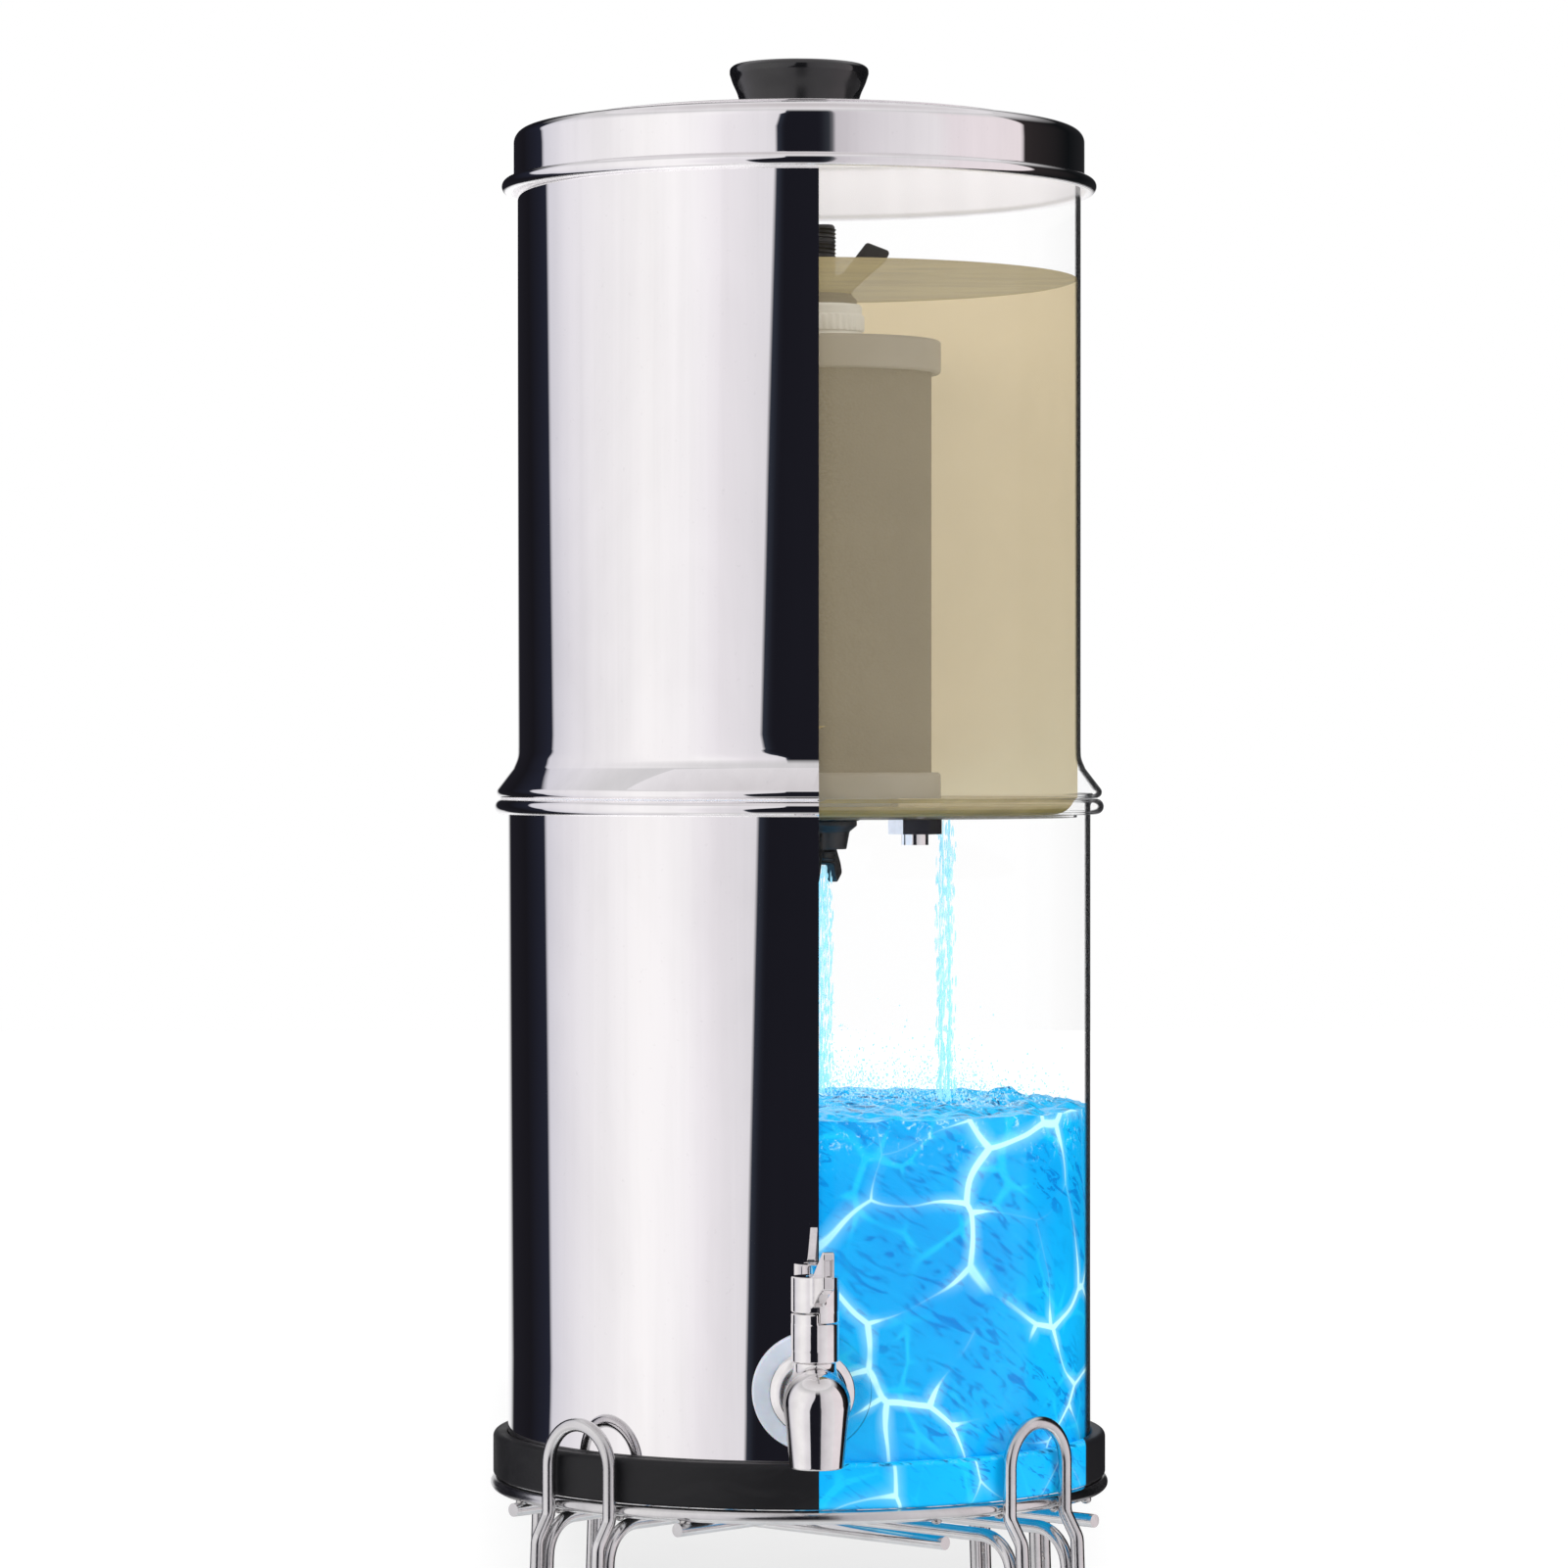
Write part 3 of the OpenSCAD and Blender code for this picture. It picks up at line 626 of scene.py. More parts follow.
@dataclass(frozen=True)
class CastSteel(Finish):
    """A polished casting: bright, unevenly polished by hand, a painted dark reflection on the spout's flanks."""

    name: str = "cast_steel"
    colour: Colour = (0.88, 0.865, 0.865)
    rough: float = 0.05
    wave: float = 0.05
    spout_top: float = (DATUM.tap_z + 11.0) * MM

    def shader(self, s: Sketch) -> Socket:
        """Draws the cast steel.

        Args:
            s: The tree being drawn.

        Returns:
            The surface shader.
        """
        dimples = s.cloud(170, 2.0)
        lines = s.cloud((300, 300, 1500), 3.0, 0.6)
        # Painted reflection: below the spout's top, the colour darkens where the surface turns away from the eye.
        painted_dark_flank = s.math("MULTIPLY", s.spread(s.facing(), 0.0, 0.85, 0.42, 0.56),
                       s.spread(s.split(s.coords())[2], 1.0, 0.0, self.spout_top - 0.004, self.spout_top))
        tint = s.blend(painted_dark_flank, s.drift(dimples, self.colour, 0.9), shade(self.colour, 0.12))
        return s.principled(Base_Color=tint, Metallic=1.0,
                            Roughness=s.spread(lines, self.rough * 0.7, self.rough * 1.9),
                            Normal=s.bump(lines, 0.006, 0.5, s.bump(dimples, self.wave, 0.5)))


@dataclass(frozen=True)
class Rubber(Finish):
    """Black rubber: matt, grained, with dusty patches."""

    name: str = "black_rubber"
    colour: Colour = (0.006, 0.006, 0.0075)
    dusty: Colour = (0.015, 0.015, 0.017)
    grain: float = 0.05

    def shader(self, s: Sketch) -> Socket:
        """Draws the rubber.

        Args:
            s: The tree being drawn.

        Returns:
            The surface shader.
        """
        dust = s.cloud((30, 30, 60), 5.0, 0.65, 0.6)
        tint = s.blend(s.spread(dust, 0.0, 0.8, 0.45, 0.75), self.colour, self.dusty)
        return s.principled(Base_Color=tint, Roughness=s.spread(dust, 0.42, 0.62), Specular_IOR_Level=0.3,
                            Normal=s.bump(s.cloud(1400, 3.0, 0.6), self.grain, 0.6))


@dataclass(frozen=True)
class MouldedPlastic(Finish):
    """Moulded plastic of one colour, with a moulding grain and slight colour drift."""

    rough: float = 0.35
    grain: float = 0.03
    coat: float = 0.0
    scale: float = 700.0

    def shader(self, s: Sketch) -> Socket:
        """Draws the plastic.

        Args:
            s: The tree being drawn.

        Returns:
            The surface shader.
        """
        drift = s.cloud(40, 4.0, 0.6, 0.3)
        return s.principled(Base_Color=s.drift(drift, self.colour, 0.82),
                            Roughness=s.spread(drift, self.rough * 0.85, self.rough * 1.25),
                            Normal=s.bump(s.cloud(self.scale, 3.0, 0.55), self.grain, 0.6),
                            Coat_Weight=self.coat, Coat_Roughness=0.06)


@dataclass(frozen=True)
class Silicone(Finish):
    """Soft translucent silicone, bluish white."""

    name: str = "silicone"
    colour: Colour = (0.72, 0.78, 0.88)

    def shader(self, s: Sketch) -> Socket:
        """Draws the silicone.

        Args:
            s: The tree being drawn.

        Returns:
            The surface shader.
        """
        cloud = s.cloud(120)
        return s.principled(Base_Color=s.drift(cloud, self.colour, 0.9), Roughness=0.32,
                            Normal=s.bump(cloud, 0.03, 0.5), Subsurface_Weight=0.35, Subsurface_Scale=0.002,
                            Coat_Weight=0.2)


@dataclass(frozen=True)
class PorousBlock(Finish):
    """Pressed granules: two greys in small grains with open pores between."""

    name: str = "porous_block"
    colour: Colour = (0.052, 0.048, 0.042)

    def shader(self, s: Sketch) -> Socket:
        """Draws the porous block.

        Args:
            s: The tree being drawn.

        Returns:
            The surface shader.
        """
        at = s.coords()
        grains = s.node("TexVoronoi", {"Vector": at, "Scale": 950.0}, feature="F1").outputs["Distance"]
        tone = s.blend(s.spread(grains, 0.0, 1.0, 0.1, 0.7), shade(self.colour, 1.5), shade(self.colour, 0.55))
        tone = s.blend(s.spread(s.noise(at, 60.0, 5.0, 0.65), 0.0, 0.6), tone, shade(self.colour, 1.15))
        return s.principled(Base_Color=tone, Roughness=0.86, Normal=s.bump(grains, -0.25, 0.9))


@dataclass(frozen=True)
class ClearWall(Finish):
    """Clear wall of the cut-open half: see-through face on, with a painted dark edge where it turns away."""

    name: str = "clear_wall"
    # Colour of the painted dark edge.
    colour: Colour = (0.012, 0.013, 0.016)
    start: float = 0.83
    full: float = 0.885

    def shader(self, s: Sketch) -> Socket:
        """Draws the clear wall.

        Args:
            s: The tree being drawn.

        Returns:
            The surface shader.
        """
        facing = s.facing()
        # Painted shade: a dark layer where the wall turns away, standing in for a glass wall's dark outline.
        painted_dark_edge = s.principled(Base_Color=s.drift(s.cloud(12), self.colour, 0.7), Roughness=0.2)
        shine = s.node("BsdfGlossy", {"Color": rgba(WHITE), "Roughness": 0.04}).outputs[0]
        face = s.join(s.spread(facing, 0.006, 0.03, 0.5, 1.0), s.clear(), shine)
        return s.join(s.spread(facing, 0.0, 0.9, self.start, self.full), face, painted_dark_edge)


@dataclass(frozen=True)
class MurkyWater(Finish):
    """Raw water: a tan veil in front, dense behind, silt in slow clouds, a rippled skin on top and a painted glow."""

    name: str = "raw_water"
    colour: Colour = (0.635, 0.53, 0.338)
    skin: Colour = (0.21, 0.165, 0.055)
    veil: float = 0.225
    depth: float = 0.94
    top: float = 0.90
    lit: float = 0.10
    # Painted light: strength of the water's own glow.
    glow: float = 0.40

    def shader(self, s: Sketch) -> Socket:
        """Draws the raw water.

        Args:
            s: The tree being drawn.

        Returns:
            The surface shader.
        """
        silt = s.cloud((16, 16, 24), 5.0, 0.6, 1.2)
        swell = s.cloud((14, 75, 20), 4.0, 0.6, 0.8)
        faces = s.node("NewGeometry").outputs
        level = s.spread(s.math("ABSOLUTE", s.split(faces["True Normal"])[2]), 0.0, 1.0, 0.4, 0.8)
        skin = s.blend(s.spread(swell, 0.0, 1.0, 0.42, 0.6), self.skin, shade(self.skin, 0.72))
        tint = s.blend(s.spread(silt, 0.0, 1.0, 0.35, 0.7), self.colour, shade(self.colour, 0.95))
        tint = s.blend(level, tint, skin)
        # The emission is painted light that keeps the tan even, inside and out.
        body = s.principled(Base_Color=tint, Roughness=0.5, Specular_IOR_Level=0.05, Emission_Color=tint,
                            Emission_Strength=self.glow)
        cover = s.mix(level, s.spread(faces["Backfacing"], self.veil, self.depth, 0.0, 1.0), self.top)
        path = s.node("LightPath").outputs
        cover = s.mix(s.math("MAXIMUM", path["Is Shadow Ray"], path["Is Diffuse Ray"]), cover, self.lit)
        return s.join(cover, s.clear(), body)


@dataclass(frozen=True)
class SunlitWater(Finish):
    """Clean water: saturated blue, a painted net of light, painted shade in ripples between, foam where drips land."""

    name: str = "clean_water"
    colour: Colour = (0.002, 0.315, 0.74)
    light: Colour = (0.003, 0.43, 0.86)
    glint: Colour = (0.012, 0.56, 0.90)
    net: Colour = (0.50, 0.92, 1.0)
    # Colour of the painted shade in the troughs of the chop.
    dark: Colour = (0.0, 0.07, 0.22)
    painted_ripple_shade: Colour = (0.0, 0.15, 0.55)
    foam: Colour = (0.80, 0.96, 1.0)
    bubble: Colour = (0.62, 0.94, 1.0)
    slant: float = 0.55
    radius: float = 0.104

    def lines(self, s: Sketch, at: Socket, scale: float, thin: float, wide: float) -> Socket:
        """Draws a net of soft lines that swell where they meet and fade between.

        Args:
            s: The material's sketch.
            at: Bent coordinates.
            scale: Cells per metre.
            thin: Least half width of a line, as a share of a cell.
            wide: Its greatest half width.

        Returns:
            1 on a line, 0 away from it.
        """
        edge, middle = (s.node("TexVoronoi", {"Vector": at, "Scale": scale}, feature=what,
                               voronoi_dimensions="2D").outputs["Distance"] for what in ("DISTANCE_TO_EDGE", "F1"))
        meet = s.math("POWER", s.spread(middle, 0.0, 1.0, 0.40, 0.78), 1.6)
        line = s.node("MapRange", {"Value": edge, "From Min": 0.0, "From Max": s.spread(meet, thin, wide, 0.0, 1.0),
                                   "To Min": 1.0, "To Max": 0.0}, interpolation_type="SMOOTHERSTEP").outputs[0]
        line = s.math("ADD", line, s.spread(edge, 0.34, 0.0, 0.0, 0.13), clamp=True)
        gone = s.spread(s.noise(at, 19.0, 2.0, 0.5, 0.6), 0.0, 1.0, 0.34, 0.50)
        return s.math("MULTIPLY", line, s.math("MULTIPLY", gone, s.spread(meet, 0.12, 1.0, 0.0, 0.5)))

    def unrolled(self, s: Sketch) -> Socket:
        """Unrolls the wall.

        Args:
            s: The tree being drawn.

        Returns:
            The way round the vessel and the height, in metres, as flat coordinates.
        """
        place = s.split(s.coords())
        along = s.math("MULTIPLY", s.math("ARCTAN2", place[1], place[0]), self.radius)
        return s.node("CombineXYZ", {0: along, 1: place[2]}).outputs[0]

    def ripple(self, s: Sketch, at: Socket) -> Socket:
        """Returns: the height of slanting ripples."""
        slant = s.node("Mapping", {"Vector": at, "Rotation": (0, 0, self.slant)}).outputs[0]
        return s.noise(s.node("Mapping", {"Vector": slant, "Scale": (70, 250, 1)}).outputs[0], 1.0, 6.0, 0.68, 1.3)

    def side(self, s: Sketch, at: Socket, ripple: Socket) -> Socket:
        """Draws the water seen through its side.

        Args:
            s: The material's sketch.
            at: Flat coordinates.
            ripple: Height of the ripples.

        Returns:
            The colour.
        """
        wobble = s.node("TexNoise", {"Vector": at, "Scale": 13.0, "Detail": 1.5}).outputs["Color"]
        bent = s.vector("ADD", {0: at, 1: s.vector("SCALE", {0: wobble, "Scale": 0.06})[0]})[0]
        base = s.blend(s.spread(s.noise(at, 10.0), 0.0, 1.0, 0.42, 0.62), self.light, self.colour)
        # Painted shade: darker streaks in the ripples between the painted net of light.
        dark = s.math("MULTIPLY", s.spread(ripple, 0.0, 0.75, 0.545, 0.58),
                      s.spread(s.noise(at, 14.0), 0.0, 1.0, 0.40, 0.56))
        base = s.blend(dark, base, self.painted_ripple_shade)
        # Painted glints in clouds and fine lines, then the painted net of light.
        base = s.blend(s.spread(s.noise(at, 7.0, 2.0), 0.0, 0.35, 0.52, 0.70), base, self.glint)
        tint = s.blend(s.spread(self.lines(s, bent, 52.0, 0.04, 0.15), 0.0, 0.6, 0.0, 1.0), base, self.glint)
        return s.blend(s.spread(self.lines(s, bent, 27.0, 0.012, 0.060), 0.0, 1.0, 0.0, 0.8), tint, self.net)

    def shader(self, s: Sketch) -> Socket:
        """Draws the clean water.

        Args:
            s: The tree being drawn.

        Returns:
            The surface shader.
        """
        at = self.unrolled(s)
        ripple = self.ripple(s, at)
        tint = self.side(s, at, ripple)
        level = DATUM.clean_level * MM
        away = [s.vector("DISTANCE", {0: s.coords(), 1: (x * MM, y * MM, level)})["Value"] for x, y in DATUM.drips]
        near = s.spread(s.math("MINIMUM", *away), 1.0, 0.10, 0.008, 0.045)
        froth = s.cloud(210, 6.0, 0.75, 1.5)
        chop = s.cloud((55, 120, 90), 5.0, 0.7, 1.8)
        # Painted shade in the troughs of the chop on top, painted glints on its crests.
        top = s.blend(s.spread(chop, 1.0, 0.0, 0.36, 0.47), s.blend(0.35, self.light, self.glint), self.dark)
        top = s.blend(s.math("MULTIPLY", s.spread(froth, 0.0, 1.0, 0.50, 0.62), near), top, self.foam)
        under = s.spread(s.split(s.coords())[2], 0.0, 0.75, level - 0.020, level - 0.001)
        tint = s.blend(s.math("MULTIPLY", s.spread(froth, 0.0, 1.0, 0.57, 0.66), under), tint, self.bubble)
        rise = s.split(s.node("NewGeometry").outputs["Normal"])[2]
        tint = s.blend(s.spread(rise, 0.0, 1.0, 0.35, 0.7), tint, top)
        # The emission is painted light: the water glows though it is no lamp.
        return s.principled(Base_Color=tint, Roughness=0.2, Specular_IOR_Level=0.12, Emission_Color=tint,
                            Emission_Strength=0.24, Normal=s.bump(ripple, 1.0, 0.15))


@dataclass(frozen=True)
class OpenRing(Finish):
    """The cut-away side of the base ring: the water shows through it in front, and it is black rubber elsewhere."""

    name: str = "open_ring"
    colour: Colour = (0.009, 0.009, 0.011)
    water_out: float = 0.1045
    rubber_back: float = -0.029

    def shader(self, s: Sketch) -> Socket:
        """Draws the ring, clear in front.

        Args:
            s: The tree being drawn.

        Returns:
            The surface shader.
        """
        place = s.split(s.coords())
        solid = s.math("MAXIMUM", s.step(place[1], self.rubber_back, 0.001), s.step(place[0], self.water_out, 0.0005))
        rubber = s.principled(Base_Color=self.colour, Roughness=0.5, Specular_IOR_Level=0.3,
                              Normal=s.bump(s.cloud(1400), 0.05, 0.6))
        return s.join(solid, SunlitWater().shader(s), rubber)


@dataclass(frozen=True)
class Spray(Finish):
    """Falling water and drops: pale blue and see-through, whiter in places, with a little painted glow."""

    name: str = "water_spray"
    colour: Colour = (0.43, 0.83, 0.95)
    crest: Colour = (0.62, 0.93, 1.0)
    through: Colour = (0.9, 0.98, 1.0)

    def shader(self, s: Sketch) -> Socket:
        """Draws the falling water.

        Args:
            s: The tree being drawn.

        Returns:
            The surface shader.
        """
        cloud = s.cloud((420, 420, 200), 3.0, 0.6)
        tint = s.blend(s.spread(cloud, 0.0, 1.0, 0.35, 0.6), self.colour, self.crest)
        # The emission is painted light.
        body = s.principled(Base_Color=tint, Roughness=0.15, Emission_Color=tint, Emission_Strength=0.3)
        return s.join(s.spread(cloud, 0.7, 0.3), s.clear(self.through), body)


def build_finishes() -> dict[str, Material]:
    """Returns: every material, by the record's slot or by what it is for."""
    finishes = {
        "mirror_steel": PolishedSheet(),
        "steel": DrawnWire(),
        "tap_metal": CastSteel(),
        "black_rubber": Rubber(),
        "silicone": Silicone(),
        "knob_plastic": MouldedPlastic("knob_plastic", (0.008, 0.008, 0.009), 0.12, 0.015, 0.5),
        "filter_block": PorousBlock(),
        "filter_cap": MouldedPlastic("filter_cap", (0.19, 0.18, 0.165), 0.5, 0.06, scale=500.0),
        "white_plastic": MouldedPlastic("white_plastic", (0.78, 0.78, 0.74), 0.4),
        "dark_plastic": MouldedPlastic("dark_plastic", (0.022, 0.02, 0.018), 0.4, 0.04),
        "clear_wall": ClearWall(),
        "raw_water": MurkyWater(),
        "clean_water": SunlitWater(),
        "spray": Spray(),
        "open_ring": OpenRing(),
        "weld": DrawnWire("weld_steel", (0.6, 0.59, 0.58)),
    }
    return {use: finish.build() for use, finish in finishes.items()}


# ---------------------------------------------------------------- chambers and lid


@dataclass
class Assembly:
    """Pieces that are made, dressed and placed together."""

    finishes: dict[str, Material]
    display: Display

    def build(self) -> None:
        """Makes and places every piece."""
        raise NotImplementedError

    def add(self, piece: Piece, body: str, slot: str = "", *nodes: str, finish: str = "") -> None:
        """Dresses a piece, rides it on its body, and hides the CAD nodes that it stands for.

        Args:
            piece: The finished piece.
            body: Name of the body it moves with.
            slot: The record's material slot, which is also the finish's name.
            nodes: CAD nodes that it replaces.
            finish: The finish's name, where it isn't the slot's.
        """
        dress(piece, self.finishes[finish or slot])
        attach(piece, body)
        if nodes:
            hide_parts(*nodes)

    def add_cut(self, make: Callable[[str], Piece], name: str, body: str, slot: str, node: str,
                clear: str = "clear_wall") -> None:
        """Adds a turned piece whole, or as the two halves that the cut divides.

        Args:
            make: Builds the whole piece under a given name.
            name: Piece name.
            body: Name of the body it moves with.
            slot: The record's material slot.
            node: CAD node that it replaces.
            clear: Finish of the clear half.
        """
        whole = make(name)
        if self.display is Display.WHOLE:
            self.add(whole, body, slot, node)
            return
        self.add(cut_at_plane(whole, Side.STEEL), body, slot, node)
        half = cut_at_plane(make(name + "_clear"), Side.CLEAR, CLEAR_GAP)
        self.add(half, body, slot, node, finish=clear)


@dataclass
class LowerChamber(Assembly):
    """The lower can: drawn sheet with a rounded base and a rolled rim, and the hole for the tap's shank."""

    bead_r: float = 2.9
    hole_r: float = 8.1

    def outline(self) -> list[Point]:
        """Returns: the closed section, its outer face first."""
        d = DATUM
        top, inner_r = d.rim_z - self.bead_r, d.chamber_r - d.sheet
        bead = (inner_r + self.bead_r, top)
        rows = [d.can_z + 30.0 + 20.0 * i for i in range(10)]
        return ([(0.0, d.can_z)] + arc(d.can_bend(), d.corner, -90, 0, 14) + [(d.chamber_r, z) for z in rows]
                + [(d.chamber_r, top - 2.0)] + arc(bead, self.bead_r - d.sheet, -110, 180, 30)[::-1]
                + arc(bead, self.bead_r, 180, -110, 30)[::-1] + [(inner_r, z) for z in rows[::-1]]
                + arc(d.can_bend(), d.corner - d.sheet, 0, -90, 14) + [(0.0, d.can_z + d.sheet)])

    def whole(self, name: str) -> Piece:
        """Returns: the whole chamber, drilled for the tap."""
        hole = Vector((0, -DATUM.chamber_r * MM, DATUM.tap_z * MM))
        return drill(revolve(name, self.outline()), hole, Vector((0, 1, 0)), self.hole_r, 10.0)

    def build(self) -> None:
        """Makes and places the chamber."""
        self.add_cut(self.whole, "lower_chamber_wall", "lower_vessel", "mirror_steel", "lower_chamber")


@dataclass
class UpperChamber(Assembly):
    """The upper can's wall: straight, then flared out to a curl that stands on the lower rim."""

    curl_r: float = 2.2
    flare_h: float = 15.0
    curl_out: float = 112.1

    def outline(self) -> list[Point]:
        """Returns: the closed section."""
        d = DATUM
        flare_z = d.seat_z + self.flare_h
        centre = (self.curl_out, d.seat_z + self.curl_r)
        knee = (d.upper_r + 1.8, flare_z - 4.0)
        reach = (knee[0] - centre[0], knee[1] - centre[1])
        tangent = math.degrees(math.atan2(reach[1], reach[0]) - math.acos(self.curl_r / math.hypot(*reach)))
        line = [(d.upper_r, d.upper_top_z - 25.0 * i) for i in range(10)]
        line += smooth_line([(d.upper_r, flare_z + 4), (d.upper_r + 0.25, flare_z), knee])
        return thicken(line + arc(centre, self.curl_r, tangent, -160, 26), -d.sheet)

    def build(self) -> None:
        """Makes and places the wall."""
        self.add_cut(lambda name: revolve(name, self.outline()), "upper_chamber_wall", "upper_vessel", "mirror_steel",
                     "upper_chamber")


@dataclass
class FloorPan(Assembly):
    """The upper chamber's floor: a shallow pan that hangs in the lower rim, with three holes."""

    top_z: float = 439.9
    hole_r: float = 5.3

    def outline(self) -> list[Point]:
        """Returns: the closed section."""
        d = DATUM
        return ([(0.0, d.pan_z)] + arc(d.pan_bend(), d.corner, -90, 0, 12)
                + [(d.pan_r, self.top_z), (d.pan_r - d.sheet, self.top_z)]
                + arc(d.pan_bend(), d.corner - d.sheet, 0, -90, 12) + [(0.0, d.floor_z)])

    def plate(self) -> list[Point]:
        """Returns: the section of the clear half, a flat plate that ends at the wall."""
        d, r = DATUM, DATUM.pan_r - 0.5
        return [(0.0, d.pan_z), (r, d.pan_z), (r, d.floor_z), (0.0, d.floor_z)]

    def whole(self, name: str) -> Piece:
        """Makes the whole pan, drilled for the stems.

        Args:
            name: The piece's name.

        Returns:
            The pan.
        """
        made = revolve(name, self.plate() if name.endswith("_clear") else self.outline(), segments=160)
        for i in range(3):
            made = drill(made, Vector((*DATUM.hole(i), DATUM.pan_z)) * MM, Vector((0, 0, 1)), self.hole_r, 8.0)
        return made

    def build(self) -> None:
        """Makes and places the pan."""
        self.add_cut(self.whole, "floor_pan", "upper_vessel", "mirror_steel", "chamber_floor")


@dataclass
class BaseRing(Assembly):
    """The rubber ring under the lower chamber: an L section with rounded edges."""

    height: float = 16.5
    wall: float = 5.5
    inner_r: float = 98.1

    def outline(self) -> list[Point]:
        """Returns: the closed section."""
        out, base = DATUM.ring_r, DATUM.base_z
        wall_in, top = out - self.wall, base + self.height
        return ([(self.inner_r, base), (out - 1.5, base)] + arc((out - 1.5, base + 1.5), 1.5, -90, 0, 5)[1:]
                + arc((out - 2.2, top - 2.2), 2.2, 0, 90, 8) + arc((wall_in + 1.0, top - 1.0), 1.0, 90, 180, 4)
                + [(wall_in, base + 12.0)] + arc(DATUM.can_bend(), DATUM.corner + 0.3, -70, -8, 8)[::-1]
                + [(100.9, base + 3.0), (self.inner_r, base + 3.0)])

    def build(self) -> None:
        """Makes and places the ring."""
        self.add_cut(lambda name: revolve(name, self.outline()), "base_ring_rubber", "lower_vessel", "black_rubber",
                     "base_ring", "open_ring")


@dataclass
class Lid(Assembly):
    """The lid: a shallow drawn cap with a rolled bead, a dished top and a glossy knob."""

    skirt_in: float = 107.0
    corner: float = 5.0
    top_z: float = 666.68
    bead_r: float = 2.65
    bead_z: float = 645.33
    rise: float = 4.0
    step_r: float = 91.8
    knob_z: float = 670.68
    knob_h: float = 21.0

    def shell_outline(self) -> list[Point]:
        """Returns: the closed section of the lid's sheet."""
        sheet, top, low = DATUM.sheet, self.top_z, self.bead_z + 12.0
        crown, skirt = top + self.rise, self.skirt_in + sheet
        bead, turn = (self.skirt_in + self.bead_r, self.bead_z), (skirt - self.corner, top - self.corner)
        panel = smooth_line([(22.5, crown), (50.0, crown - 0.35), (84.8, crown - 1.0), (88.3, top + 1.6),
                             (self.step_r, top)])
        return ([(2.1, crown)] + panel + [(96.0, top), (skirt - self.corner, top)]
                + arc(turn, self.corner, 90, 0, 12)[1:] + [(skirt, low), (skirt, self.bead_z + 1.7)]
                + arc(bead, self.bead_r - sheet, 180, 480, 30)[1:] + arc(bead, self.bead_r, 480, 180, 30)
                + [(self.skirt_in, low)] + arc(turn, self.corner - sheet, 0, 90, 12) + [(96.0, top - sheet)]
                + [(r, z - sheet) for r, z in reversed(panel)] + [(2.1, crown - sheet)])

    def knob_outline(self) -> list[Point]:
        """Returns: the knob's closed section, with a rounded lip round a shallow dish."""
        top = self.knob_h
        side = smooth_line([(20.7, 0.0), (21.0, 0.4), (21.5, 2.6), (22.0, 5.0), (23.3, 9.9), (25.1, 14.0),
                            (26.3, top - 3.4)], 5)
        lip = smooth_line([(26.3, top - 3.4), (26.1, top - 1.5), (24.5, top - 0.2), (22.2, top - 0.45),
                           (18.0, top - 1.1), (9.0, top - 1.52)], 5)
        bore = [(0.0, top - 1.6), (0.0, 15.0), (2.05, 15.0), (2.05, 0.0)]
        return [(r, z + self.knob_z) for r, z in side + lip[1:] + bore]

    def build(self) -> None:
        """Makes and places the lid and its knob."""
        self.add(revolve("lid_dome", self.shell_outline()), "lid", "mirror_steel", "lid_shell")
        self.add(revolve("lid_grip", self.knob_outline(), segments=128), "lid", "knob_plastic", "lid_knob")


# ---------------------------------------------------------------- water


@dataclass
class RawWater(Assembly):
    """Tan water in the upper chamber."""

    level: float = 610.5
    wall: float = 104.6 - WATER_GAP

    def widen(self, points: np.ndarray) -> np.ndarray:
        """Spreads the clear side to the chamber's wall, where no pan's rim stands between.

        Args:
            points: Corners in millimetres, one a row.

        Returns:
            The new corners.
        """
        normal = DATUM.cut_normal()
        out = np.hypot(points[:, 0], points[:, 1])
        clear = points[:, 0] * normal.x + points[:, 1] * normal.y > DATUM.cut_out + 0.2
        skin = (out > 104.0) & (clear | (points[:, 2] > 441.0))
        grow = np.where(skin, (DATUM.upper_r - DATUM.sheet - WATER_GAP) / np.maximum(out, 1.0), 1.0)
        points[:, :2] *= grow[:, None]
        return points

    def build(self) -> None:
        """Makes and places the water."""
        top = self.level - 0.9
        rise = [(self.wall, z) for z in (440.5, 441.5, 500.0, 560.0, self.level - 1.5)]
        meniscus = [(self.wall, self.level), (self.wall - 1.2, self.level - 0.6), (self.wall - 3.5, top), (0.0, top)]
        bend = arc(DATUM.pan_bend(), DATUM.corner - DATUM.sheet - WATER_GAP, -90, 0, 8)
        outline = [(0.0, DATUM.floor_z + WATER_GAP)] + bend + rise + meniscus
        self.add(revolve("raw_water", outline, segments=240, shape=self.widen), "upper_vessel", finish="raw_water")


